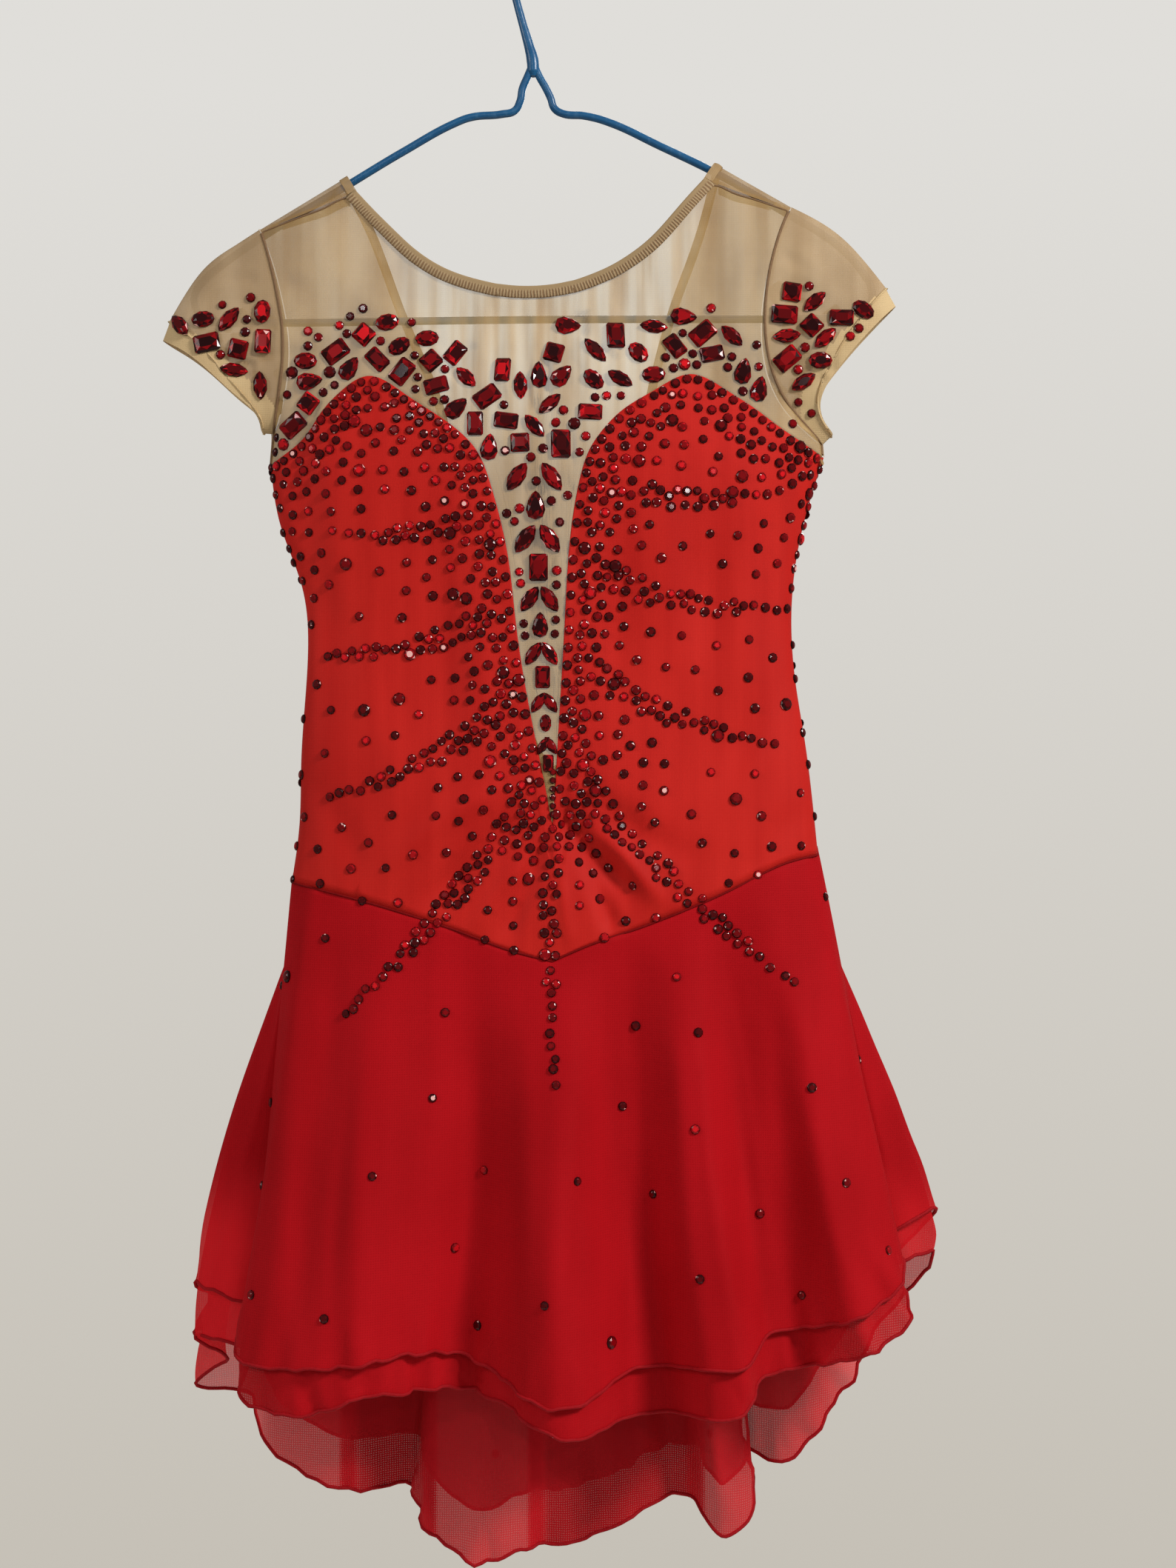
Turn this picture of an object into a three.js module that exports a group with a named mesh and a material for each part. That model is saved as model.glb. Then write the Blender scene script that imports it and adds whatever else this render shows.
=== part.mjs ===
// Figure skating dress hanging on a plastic-coated wire hanger.
//
// Frame: millimetres, +Z up. The origin is the inner top of the hook, where a rod carries the
// hanger. The front of the dress faces -Y, and +X is to the right of someone facing it.
//
// Every cloth piece is a wall of even thickness. Its cut edges are drawn in the front plane as
// [x, z] points, the cloth between them is laid on the flattened body by bodyDepth, and the
// skirts run straight from the waist seam to a hem that follows a table of folds.

import * as THREE from 'three';

// ---------------------------------------------------------------- driving sizes

const CLOTH = 1.2; // wall of the stretch bodice and of the yoke
const SKIRT_CLOTH = 1.0; // wall of a skirt layer
const SEAM = 0.3; // gap between two pieces at a seam
const ARMHOLE_SEAM = 0.6; // the same where a sleeve joins the yoke
const NECK_BAND = 5; // width of the overlocked neck edge
const NECK_BAND_WALL = 1.8;
const SLEEVE_HEM = 11; // turned-up hem of a sleeve, twice the cloth
const WIRE = 4.2; // coated hanger wire
const WIRE_SIDES = 8;

const SHOULDER_ROUND = 55; // the cloth over the wire opens to its full depth within this drop
const ARMHOLE_DEPTH = 14; // front to middle, half way down an armhole
const CUFF_DEPTH = 15; // the same at the sleeve's hem
const SIDE_POWER = 2.6; // how flat the front lies before it turns in at the sides
const CROWN_FROM = -300; // below this height the sides turn in roundly, and above the next
const CROWN_TO = -255; // they slope to the armholes
const BODICE_ROWS = 7;
const PACKING = 1.5; // power that crowds the steps of an edge towards a side seam

// Colours of the finished pieces
const NUDE = 0xb29573;
const RED = 0xb02320;
const SKIRT_RED = 0x930e15;
const BLUE = 0x1d5a94;

// Body sections from the shoulders to the waist. left and right are the armhole seams down to
// the underarm and the side seams below it; front and back are the depths of the middle.
const SECTIONS = [
  { z: -140, left: -166.0, right: 138.0, front: 15, back: 15 },
  { z: -180, left: -158.5, right: 128.5, front: 15, back: 14 },
  { z: -220, left: -147.0, right: 119.5, front: 13, back: 13 },
  { z: -260, left: -146.0, right: 123.5, front: 19, back: 14 },
  { z: -300, left: -153.5, right: 152.0, front: 24, back: 16 },
  { z: -340, left: -148.5, right: 141.5, front: 25, back: 16 },
  { z: -380, left: -135.0, right: 135.0, front: 23, back: 15 },
  { z: -420, left: -133.0, right: 136.0, front: 22, back: 15 },
  { z: -460, left: -136.4, right: 142.0, front: 23, back: 16 },
  { z: -500, left: -137.0, right: 147.0, front: 25, back: 18 },
  { z: -540, left: -142.0, right: 151.0, front: 27, back: 20 },
  { z: -580, left: -150.0, right: 156.0, front: 29, back: 22 },
];

// Long soft folds in the hanging bodice and yoke: each runs from one point of the front plane
// to another, this wide, pressed in by depth (a negative depth stands proud).
const FRONT_FOLDS = [
  { fold: 'left side tuck', from: [-141, -296], to: [-139, -392], width: 11, depth: 5.0 },
  { fold: 'left bust trough', from: [-72, -318], to: [-78, -452], width: 24, depth: 3.0 },
  { fold: 'drag from the V, right', from: [10, -500], to: [62, -572], width: 17, depth: 3.0 },
  { fold: 'drag from the V, left', from: [-12, -500], to: [-44, -572], width: 16, depth: 2.4 },
  { fold: 'right waist trough', from: [96, -440], to: [74, -540], width: 22, depth: 2.6 },
  { fold: 'left yoke fold', from: [-128, -200], to: [-104, -262], width: 13, depth: 1.8 },
  { fold: 'right yoke fold', from: [98, -176], to: [84, -246], width: 13, depth: 1.8 },
];

// Shoulders: the fold over the hanger from the neck point out to the armhole, the armhole seam
// from there down to the underarm, the fold of the sleeve on to the cuff, and the cuff edge.
const SHOULDERS = {
  left: {
    out: -1,
    neck: [-111, -148.5],
    seamEnd: [-104.8, -159.5],
    armhole: [[-159.5, -178], [-156, -187], [-150, -209], [-145.2, -240], [-147.5, -268], [-152, -291]],
    sleeveFold: [[-159.5, -178], [-170, -184], [-182, -193.5], [-193, -202.6], [-200.5, -211],
      [-207.8, -225.5], [-213, -239.5]],
    cuff: [[-213, -239.5], [-195.5, -250], [-174.5, -268.5], [-160, -282], [-158, -290.5]],
    opening: [[-50, -322], [-58, -275], [-79, -223], [-98, -173], [-111, -148.5]],
  },
  right: {
    out: 1,
    neck: [92, -141.3],
    seamEnd: [85.5, -152.5],
    armhole: [[134.5, -165.5], [128, -181], [120.5, -211], [120.4, -247], [130, -273], [151.5, -297]],
    sleeveFold: [[134.5, -165.5], [152.6, -175], [167.6, -187], [178, -199], [185, -207.5],
      [192.3, -220.5]],
    cuff: [[192.3, -220.5], [181.5, -231], [162, -253], [150.5, -271], [150, -282], [157.5, -291.5]],
    opening: [[46, -318], [53, -275], [66, -223], [82, -178], [92, -141.3]],
  },
};

// Front edges, left to right
const NECKLINE = [[-104.8, -159.5], [-93, -172.5], [-65, -197.5], [-36, -209], [-6, -211.8],
  [23, -206], [52, -189.5], [76, -163.5], [85.5, -152.5]];
const V_UNDER_NECKLINE = [0.4, 0.61]; // share of the neckline that lies above the V insert
const BUST_LEFT = [[-153.3, -309], [-134.5, -295.5], [-116, -272], [-96, -261.5]];
const BUST_LEFT_INNER = [[-96, -261.5], [-77, -272.5], [-52, -289.5], [-40, -301], [-31, -321]];
const V_LEFT = [[-31, -321], [-21.3, -360], [-15, -413], [2.9, -506]];
const V_RIGHT = [[2.9, -506], [8.4, -413], [12.5, -349], [18.5, -315]];
const BUST_RIGHT_INNER = [[18.5, -315], [31, -290], [50, -274.5], [78, -260.5]];
const BUST_RIGHT = [[78, -260.5], [102, -271.5], [128, -290], [151.3, -304]];

// Dropped waist seam, from each side down to its point in the middle
const WAIST_LEFT = [[-141.9, -538.5], [-96, -549.5], [-52, -563], [-22, -574], [2.9, -580.5]];
const WAIST_RIGHT = [[2.9, -580.5], [22, -572], [56, -560.5], [95, -544.5], [130, -528], [150.1, -523.5]];

// Back edges: top of the red cloth from the side seam to the opening, then down to its foot
const OPENING_FOOT = [2.9, -480];
const BACK_TOP_LEFT = [[-153.3, -309], [-100, -320], [-50, -322]];
const BACK_OPENING_LEFT = [[-50, -322], [-38, -370], [-19, -432], OPENING_FOOT];
const BACK_OPENING_RIGHT = [OPENING_FOOT, [24, -432], [41, -370], [46, -318]];
const BACK_TOP_RIGHT = [[46, -318], [98, -316], [151.3, -304]];

// Hem of the outer skirt, one row for each fold, left seam to right seam. x, y and z are where
// the fold ends at the hem, bow is how far it swells sideways half way down, under is how much
// longer the under layer hangs there and lean how far that extra length swings sideways.
const FRONT_HEM = [
  { fold: 'left seam', x: -162.5, y: -8, z: -772, under: 21 },
  { fold: 'left edge', x: -168.5, y: -30, z: -793, under: 21 },
  { fold: 'left panel', x: -132, y: -52, z: -794.5, under: 25 },
  { fold: 'broad crest', x: -97, y: -58, z: -790.5, under: 18 },
  { fold: 'turn in', x: -70, y: -45, z: -788, under: 21 },
  { fold: 'left trough', x: -44, y: -30, z: -792.5, under: 19 },
  { fold: 'rise', x: -22, y: -47, z: -802, under: 15 },
  { fold: 'middle crest', x: 1, y: -68, z: -811, under: 14 },
  { fold: 'crest shoulder', x: 23, y: -61, z: -808.5, under: 20 },
  { fold: 'fall', x: 43, y: -37, z: -799.5, under: 26 },
  { fold: 'right trough', x: 64, y: -32, z: -797.5, under: 26 },
  { fold: 'second crest', x: 84, y: -55, z: -794, under: 27 },
  { fold: 'crest edge', x: 106, y: -55, z: -793, under: 25 },
  { fold: 'tucked side', x: 118, y: -35, z: -781, under: 23 },
  { fold: 'shallow trough', x: 138, y: -30, z: -777.5, under: 22 },
  { fold: 'right panel', x: 163, y: -47, z: -770, under: 20, bow: 2, lean: 3 },
  { fold: 'right edge', x: 184, y: -37, z: -759.5, under: 21, bow: 3, lean: 5 },
  { fold: 'turned edge', x: 195, y: -21, z: -747.5, under: 20, bow: 3, lean: 6 },
  { fold: 'right seam', x: 186, y: -4, z: -733.5, under: 18, bow: 2, lean: 2 },
];
const FRONT_MIDDLE = 'middle crest';

const BACK_HEM = [
  { fold: 'left seam', x: -162.5, y: -8, z: -772, under: 24 },
  { fold: 'first flute', x: -198.5, y: 5, z: -761, under: 30, bow: -9 },
  { fold: 'first valley', x: -182, y: 17, z: -778, under: 27, bow: -6 },
  { fold: 'second flute', x: -200, y: 28, z: -797, under: 26, bow: -6 },
  { fold: 'deep valley', x: -168, y: 44, z: -806, under: 27 },
  { fold: 'left flute edge', x: -154, y: 24, z: -829, under: 28 },
  { fold: 'left flute', x: -113, y: 14, z: -850, under: 28 },
  { fold: 'left flute back', x: -75, y: 30, z: -852, under: 28 },
  { fold: 'long flute edge', x: -66, y: 9, z: -867, under: 28 },
  { fold: 'long flute', x: -38, y: -1, z: -886, under: 28 },
  { fold: 'long flute side', x: -15, y: 7, z: -878.5, under: 30 },
  { fold: 'slack', x: 14, y: 13, z: -876.5, under: 30 },
  { fold: 'rise', x: 43, y: 22, z: -869, under: 28 },
  { fold: 'middle valley', x: 67, y: 34, z: -859, under: 28 },
  { fold: 'narrow flute edge', x: 84, y: 24, z: -859, under: 28 },
  { fold: 'narrow flute', x: 97, y: 7, z: -874, under: 28 },
  { fold: 'narrow flute side', x: 110, y: 17, z: -862, under: 28 },
  { fold: 'right valley', x: 110, y: 35, z: -836, under: 26 },
  { fold: 'right flute', x: 132, y: 20, z: -836, under: 28 },
  { fold: 'right flute side', x: 152, y: 29, z: -816, under: 27 },
  { fold: 'right rise', x: 172, y: 40, z: -791, under: 27 },
  { fold: 'side valley', x: 189, y: 33, z: -760, under: 26, bow: 2 },
  { fold: 'side flute', x: 217, y: 10, z: -721, under: 24, bow: 3 },
  { fold: 'right seam', x: 186, y: -4, z: -733.5, under: 18, bow: 2, lean: 2 },
];
const BACK_MIDDLE = 'slack';

const SKIRT_ROWS = [0, 0.12, 0.3, 0.53, 0.77, 1]; // share of the way from the waist to the hem
const STEPS_PER_FOLD = 2;
const UNDER_AT_WAIST = SKIRT_CLOTH + SEAM; // under layer inside the outer one, at the waist
const UNDER_AT_HEM = 4; // and at the outer layer's hem
const HEM_HANG = 0.7; // how far its free end turns from the line of the fold to hang straight

// Hanger centre lines, [x, z] in the plane y = 0
const NECK_X = -8.2;
const NECK_TOP = -80;
const NECK_BOTTOM = -92;
const NECK_RADIUS = 3.3;
const HOOK_RADIUS = 24; // centre line of the hook's bend
const HOOK_END = -25; // degrees, where the free end stops
const HOOK_LEAVES = 205; // degrees, where the shank runs into the bend
const HOOK_STEP = 23; // degrees from one point of the bend to the next
const STRAIGHT_FOOT = 1.5; // straight start of a wire where it enters the neck
const SHANK = [[-13.9, -64.4], [-10.2, -73]];
const BAR_LEFT = [-184, -229];
const BAR_RIGHT = [168, -226.2];
const ARM_LEFT = [[-10.6, -92.3], [-13.9, -99.5], [-15.6, -107], [-18.5, -112], [-25.5, -113.6],
  [-42, -115.5], [-50, -118.2], [-80, -134.6], [-111, -153.3], [-159.5, -182.8], [-181.7, -198.5],
  [-190, -205.5], [-195.3, -213.5], [-194.6, -222], [-191, -227.3], [-187.4, -229], BAR_LEFT];
const ARM_RIGHT = [[-5.8, -92.3], [-2, -98.5], [1.4, -105], [3.6, -110.8], [8.5, -113.5],
  [20, -114.8], [33, -118.2], [62, -131.6], [92, -146.1], [134.5, -170.3], [152, -180.6],
  [166, -191.8], [174, -201.5], [178.8, -210], [178.6, -218.5], [175.2, -224.4], [171.4, -226.2],
  BAR_RIGHT];

// ---------------------------------------------------------------- reading the tables

const { clamp, lerp, degToRad, smoothstep } = THREE.MathUtils;

function catmull(a, b, c, d, t) {
  const slopeB = (c - a) / 2;
  const slopeC = (d - b) / 2;
  const t2 = t * t;
  const t3 = t2 * t;
  return (2 * t3 - 3 * t2 + 1) * b + (t3 - 2 * t2 + t) * slopeB
    + (3 * t2 - 2 * t3) * c + (t3 - t2) * slopeC;
}

function sectionAt(z) {
  const last = SECTIONS.length - 1;
  const step = SECTIONS[0].z - SECTIONS[1].z;
  const place = clamp((SECTIONS[0].z - z) / step, 0, last);
  const i = Math.min(Math.floor(place), last - 1);
  const near = [i - 1, i, i + 1, i + 2].map((k) => SECTIONS[clamp(k, 0, last)]);
  const read = (key) => catmull(...near.map((row) => row[key]), place - i);
  return { left: read('left'), right: read('right'), front: read('front'), back: read('back') };
}

// Smooth curve through [x, z] points of the front plane
function planeCurve(through) {
  return new THREE.CatmullRomCurve3(through.map(([x, z]) => new THREE.Vector3(x, 0, z)));
}

// ---------------------------------------------------------------- the hanging form

// Height of the fold that lies over the hanger, on the line from the neck to the armhole
function shoulderLine(x) {
  const { neck, armhole } = x < NECK_X ? SHOULDERS.left : SHOULDERS.right;
  const slope = (armhole[0][1] - neck[1]) / (armhole[0][0] - neck[0]);
  return neck[1] + slope * (x - neck[0]);
}

// Depth that the armhole seam gives the cloth beside it, an ellipse from the shoulder fold down
// to the underarm
function besideArmhole(x, z) {
  const { armhole } = x < NECK_X ? SHOULDERS.left : SHOULDERS.right;
  const top = shoulderLine(x);
  const bottom = armhole[armhole.length - 1][1];
  const share = clamp((top - z) / (top - bottom), 0, 1);
  return 2 * ARMHOLE_DEPTH * Math.sqrt(share * (1 - share));
}

// How far a soft fold presses in at a point of the front plane
function foldDepth({ from, to, width, depth }, x, z) {
  const along = new THREE.Vector2(to[0] - from[0], to[1] - from[1]);
  const length = along.length();
  along.divideScalar(length);
  const offset = new THREE.Vector2(x - from[0], z - from[1]);
  const run = offset.dot(along) / length;
  const away = offset.cross(along) / width;
  const fade = smoothstep(run, -0.25, 0.25) * (1 - smoothstep(run, 0.75, 1.25));
  return depth * fade * Math.exp(-away * away);
}

// Distance of the cloth from the hanger's plane, on the front or the back
function bodyDepth(x, z, face) {
  const section = sectionAt(z);
  const middle = (section.left + section.right) / 2;
  const across = Math.min(Math.abs(x - middle) / (section.right - middle), 1);
  const drop = clamp((shoulderLine(x) - z) / SHOULDER_ROUND, 0, 1);
  const overWire = Math.sqrt(1 - (1 - drop) ** 2);
  const atSide = besideArmhole(x, z);
  const roundness = lerp(0.5, 1, smoothstep(z, CROWN_FROM, CROWN_TO));
  const crown = (1 - across ** SIDE_POWER) ** roundness;
  const pressed = FRONT_FOLDS.map((fold) => foldDepth(fold, x, z)).reduce((a, b) => a + b, 0);
  const creases = face === 'front' ? pressed * crown : 0;
  return atSide + (section[face] * overWire - atSide) * crown - creases;
}

// A point of the front plane laid on the front (-Y) or the back (+Y) of the body
function onBody(point, face) {
  const depth = Math.max(bodyDepth(point.x, point.z, face), SEAM / 2);
  return new THREE.Vector3(point.x, face === 'front' ? -depth : depth, point.z);
}

// Outward direction of the hanging cloth there
function bodyNormal(point, face) {
  const step = 0.25;
  const slope = (dx, dz) => {
    const ahead = bodyDepth(point.x + dx, point.z + dz, face);
    return (ahead - bodyDepth(point.x - dx, point.z - dz, face)) / (2 * step);
  };
  const out = face === 'front' ? -1 : 1;
  return new THREE.Vector3(-slope(step, 0), out, -slope(0, step)).normalize();
}

// ---------------------------------------------------------------- edges and panels

// A cut edge: smooth stretches joined at corners, each with its number of steps. packStart and
// packEnd crowd the steps towards a side seam, where the cloth turns; from and to take only
// that share of the curve.
function edge(stretches) {
  const points = [];
  for (const { through, steps, packStart = false, packEnd = false, from = 0, to = 1 } of stretches) {
    const curve = planeCurve(through);
    for (let i = points.length ? 1 : 0; i <= steps; i++) {
      const even = i / steps;
      const packed = packStart ? even ** PACKING : 1 - (1 - even) ** PACKING;
      points.push(curve.getPointAt(lerp(from, to, packStart || packEnd ? packed : even)));
    }
  }
  return points;
}

// Moves an edge sideways in its plane: up, where it runs to the right
function raise(points, distance) {
  const last = points.length - 1;
  return points.map((point, i) => {
    const along = points[Math.min(i + 1, last)].clone().sub(points[Math.max(i - 1, 0)]).normalize();
    return new THREE.Vector3(point.x - along.z * distance, 0, point.z + along.x * distance);
  });
}

function runningShare(points) {
  const share = [0];
  for (let i = 1; i < points.length; i++) share.push(share[i - 1] + points[i].distanceTo(points[i - 1]));
  return share.map((length) => length / share[share.length - 1]);
}

// Fills four edges with rows of points. bottom and top run left to right and have the same
// number of points, left and right run upwards; the corners are shared. The curve of a side
// edge dies out towards the middle.
function fill(bottom, top, left, right) {
  const last = bottom.length - 1;
  const bow = (side, shares) => side.map((point, i) => {
    return point.clone().sub(side[0].clone().lerp(side[side.length - 1], shares[i]));
  });
  const leftShare = runningShare(left);
  const rightShare = runningShare(right);
  const leftBow = bow(left, leftShare);
  const rightBow = bow(right, rightShare);
  return left.map((_, i) => bottom.map((foot, j) => {
    const u = j / last;
    const point = foot.clone().lerp(top[j], lerp(leftShare[i], rightShare[i], u));
    return point.addScaledVector(leftBow[i], (1 - u) ** 2).addScaledVector(rightBow[i], u ** 2);
  }));
}

// Mean normals of a grid of points; ring closes each row on itself
function gridNormals(grid, ring) {
  const columns = grid[0].length;
  const normals = grid.map((row) => row.map(() => new THREE.Vector3()));
  for (let i = 0; i + 1 < grid.length; i++) {
    for (let j = 0; j + (ring ? 0 : 1) < columns; j++) {
      const k = (j + 1) % columns;
      const diagonal = grid[i + 1][k].clone().sub(grid[i][j]);
      const normal = grid[i][k].clone().sub(grid[i + 1][j]).cross(diagonal);
      for (const [row, column] of [[i, j], [i, k], [i + 1, j], [i + 1, k]]) {
        normals[row][column].add(normal);
      }
    }
  }
  return normals.map((row) => row.map((normal) => normal.normalize()));
}

// The same normals, turned away from the hollow inside the garment
function outwardNormals(grid, ring = false) {
  const normals = gridNormals(grid, ring);
  const middle = new THREE.Vector3();
  grid.flat().forEach((point) => middle.add(point));
  middle.divideScalar(grid.flat().length).setY(0);
  let facing = 0;
  grid.forEach((row, i) => row.forEach((point, j) => {
    facing += normals[i][j].dot(point.clone().sub(middle));
  }));
  if (facing < 0) normals.flat().forEach((normal) => normal.negate());
  return normals;
}

function offsetGrid(grid, normals, distance) {
  return grid.map((row, i) => row.map((point, j) => {
    return point.clone().addScaledVector(normals[i][j], distance(i, j));
  }));
}

// At a side seam a wall's end stays on its own side of the plane that parts front and back
function keepToSide(normals, face) {
  const limit = face === 'front' ? (y) => Math.max(y, 0) : (y) => Math.min(y, 0);
  for (const row of normals) {
    for (const normal of [row[0], row[row.length - 1]]) normal.setY(limit(normal.y)).normalize();
  }
}

// Closed wall between an outer and an inner grid
function wallGeometry(outer, inner, ring = false) {
  const rows = outer.length;
  const columns = outer[0].length;
  const at = (layer, i, j) => (layer * rows + i) * columns + (j % columns);
  const index = [];
  const quad = (a, b, c, d) => index.push(a, b, c, a, c, d);
  const span = ring ? columns : columns - 1;
  for (let i = 0; i + 1 < rows; i++) {
    for (let j = 0; j < span; j++) {
      quad(at(0, i, j), at(0, i, j + 1), at(0, i + 1, j + 1), at(0, i + 1, j));
      index.push(at(1, i, j), at(1, i + 1, j), at(1, i + 1, j + 1));
      index.push(at(1, i, j), at(1, i + 1, j + 1), at(1, i, j + 1));
    }
  }
  const end = rows - 1;
  for (let j = 0; j < span; j++) {
    quad(at(0, 0, j + 1), at(0, 0, j), at(1, 0, j), at(1, 0, j + 1));
    quad(at(0, end, j), at(0, end, j + 1), at(1, end, j + 1), at(1, end, j));
  }
  for (let i = 0; i < end && !ring; i++) {
    quad(at(0, i, 0), at(0, i + 1, 0), at(1, i + 1, 0), at(1, i, 0));
    quad(at(0, i + 1, span), at(0, i, span), at(1, i, span), at(1, i + 1, span));
  }
  const points = [...outer.flat(), ...inner.flat()];
  const volume = index.reduce((sum, _, k) => {
    if (k % 3) return sum;
    const [a, b, c] = [points[index[k]], points[index[k + 1]], points[index[k + 2]]];
    return sum + a.dot(b.clone().cross(c));
  }, 0);
  if (volume < 0) index.reverse();
  const geometry = new THREE.BufferGeometry().setFromPoints(points);
  geometry.setIndex(index);
  geometry.computeVertexNormals();
  return geometry;
}

// ---------------------------------------------------------------- shared seam lines

const FRONT_BUST = edge([
  { through: BUST_LEFT, steps: 6, packStart: true },
  { through: BUST_LEFT_INNER, steps: 4 },
  { through: V_LEFT, steps: 5 },
  { through: V_RIGHT, steps: 5 },
  { through: BUST_RIGHT_INNER, steps: 4 },
  { through: BUST_RIGHT, steps: 6, packEnd: true },
]);

const BACK_TOP = edge([
  { through: BACK_TOP_LEFT, steps: 7, packStart: true },
  { through: BACK_OPENING_LEFT, steps: 7 },
  { through: BACK_OPENING_RIGHT, steps: 7 },
  { through: BACK_TOP_RIGHT, steps: 7, packEnd: true },
]);

// Neckline, with its middle steps above the V insert
function neckline() {
  return edge([
    { through: NECKLINE, steps: 6, to: V_UNDER_NECKLINE[0] },
    { through: NECKLINE, steps: 10, from: V_UNDER_NECKLINE[0], to: V_UNDER_NECKLINE[1] },
    { through: NECKLINE, steps: 6, from: V_UNDER_NECKLINE[1] },
  ]);
}

function waistEdge(steps) {
  return edge([
    { through: WAIST_LEFT, steps, packStart: true },
    { through: WAIST_RIGHT, steps, packEnd: true },
  ]);
}

// Angles round a sleeve, from the fold over the wire (0) down to the underarm (180)
const ROUND_ARM = [0, 9, 18, 36, 54, 72, 90, 108, 126, 144, 162, 180];
const shareDown = (angle) => (1 - Math.cos(degToRad(angle))) / 2;
const depthRound = (angle) => Math.sin(degToRad(angle));

// A point of the armhole seam, moved along the shoulder by shift (outwards is positive)
function armholePoint({ armhole, out }, angle, shift) {
  const point = planeCurve(armhole).getPointAt(shareDown(angle));
  point.x += out * shift;
  return point;
}

// ---------------------------------------------------------------- the pieces

const dress = new THREE.Group();
dress.name = 'figure_skating_dress';

function addPiece(name, geometry, color, roughness) {
  const material = new THREE.MeshStandardMaterial({ color, roughness, metalness: 0 });
  const mesh = new THREE.Mesh(geometry, material);
  mesh.name = name;
  dress.add(mesh);
}

const SEAM_ANGLE = 18; // where the shoulder seam meets the armhole, on the front of the fold
const ARM_ROWS = ROUND_ARM.filter((angle) => angle >= SEAM_ANGLE).reverse();

// Front yoke: one piece of nude mesh with the V insert
function frontYoke() {
  const side = (shoulder, foot) => {
    return [foot, ...ARM_ROWS.map((angle) => armholePoint(shoulder, angle, -ARMHOLE_SEAM / 2))];
  };
  const bottom = raise(FRONT_BUST, SEAM / 2);
  const left = side(SHOULDERS.left, bottom[0]);
  const right = side(SHOULDERS.right, bottom[bottom.length - 1]);
  const scoop = raise(neckline(), -NECK_BAND - SEAM);
  const shoulderSeam = (start, finish) => [0.25, 0.5, 0.75].map((share) => {
    return start.clone().lerp(finish, share).add(new THREE.Vector3(0, 0, -SEAM / 2));
  });
  const leftTop = left[left.length - 1];
  const rightTop = right[right.length - 1];
  const top = [
    leftTop,
    ...shoulderSeam(leftTop, scoop[0]),
    ...scoop,
    ...shoulderSeam(rightTop, scoop[scoop.length - 1]).reverse(),
    rightTop,
  ];
  const plane = fill(bottom, top, left, right);
  const grid = plane.map((row) => row.map((point) => onBody(point, 'front')));
  const normals = plane.map((row) => row.map((point) => bodyNormal(point, 'front')));
  ARM_ROWS.forEach((angle, k) => {
    const row = grid[k + 1];
    const depth = Math.max(ARMHOLE_DEPTH * depthRound(angle), SEAM / 2);
    row[0].setY(-depth);
    row[row.length - 1].setY(-depth);
  });
  keepToSide(normals.slice(0, 2), 'front');
  addPiece('front_yoke', wallGeometry(grid, offsetGrid(grid, normals, () => -CLOTH)), NUDE, 0.8);
}

// Red bodice, front and back: from the dropped waist seam up to its shaped top edge
function bodice(name, face, topEdge) {
  const top = raise(topEdge, -SEAM / 2);
  const bottom = raise(waistEdge((topEdge.length - 1) / 2), SEAM / 2);
  const side = (key, foot, head) => Array.from({ length: BODICE_ROWS + 1 }, (_, i) => {
    const z = lerp(foot.z, head.z, i / BODICE_ROWS);
    return new THREE.Vector3(sectionAt(z)[key], 0, z);
  });
  const left = side('left', bottom[0], top[0]);
  const right = side('right', bottom[bottom.length - 1], top[top.length - 1]);
  bottom[0] = left[0];
  top[0] = left[BODICE_ROWS];
  bottom[bottom.length - 1] = right[0];
  top[top.length - 1] = right[BODICE_ROWS];
  const plane = fill(bottom, top, left, right);
  const grid = plane.map((row) => row.map((point) => onBody(point, face)));
  const normals = plane.map((row) => row.map((point) => bodyNormal(point, face)));
  keepToSide(normals, face);
  addPiece(name, wallGeometry(grid, offsetGrid(grid, normals, () => -CLOTH)), RED, 0.55);
}

// Back yoke: up the back, over the wire, and down the front to the shoulder seam. Each row runs
// from the neck opening to the armhole; its band takes the first millimetres.
function backYokeRows(shoulder) {
  const opening = planeCurve(shoulder.opening);
  const neck = new THREE.Vector3(shoulder.neck[0], 0, shoulder.neck[1]);
  const seamEnd = new THREE.Vector3(shoulder.seamEnd[0], 0, shoulder.seamEnd[1]);
  const foot = shoulder === SHOULDERS.left ? BUST_LEFT[0] : BUST_RIGHT[BUST_RIGHT.length - 1];
  const underarm = 0.17; // share of the opening's edge that lies below the underarm
  const rows = [{
    face: 'back',
    inner: opening.getPointAt(0),
    outer: new THREE.Vector3(foot[0], 0, foot[1]),
    depth: SEAM / 2,
  }];
  rows[0].inner.z += SEAM / 2;
  rows[0].outer.z += SEAM / 2;
  for (const angle of [...ROUND_ARM].reverse()) {
    rows.push({
      face: 'back',
      inner: opening.getPointAt(lerp(1, underarm, shareDown(angle))),
      outer: armholePoint(shoulder, angle, -ARMHOLE_SEAM / 2),
      depth: ARMHOLE_DEPTH * depthRound(angle),
    });
  }
  for (const [angle, share] of [[SEAM_ANGLE / 2, 0.3], [SEAM_ANGLE, 1]]) {
    rows.push({
      face: 'front',
      inner: neck.clone().lerp(seamEnd, share),
      outer: armholePoint(shoulder, angle, -ARMHOLE_SEAM / 2),
      depth: ARMHOLE_DEPTH * depthRound(angle),
    });
  }
  const last = rows[rows.length - 1];
  last.inner.z += SEAM / 2;
  last.outer.z += SEAM / 2;
  return rows;
}

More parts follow.
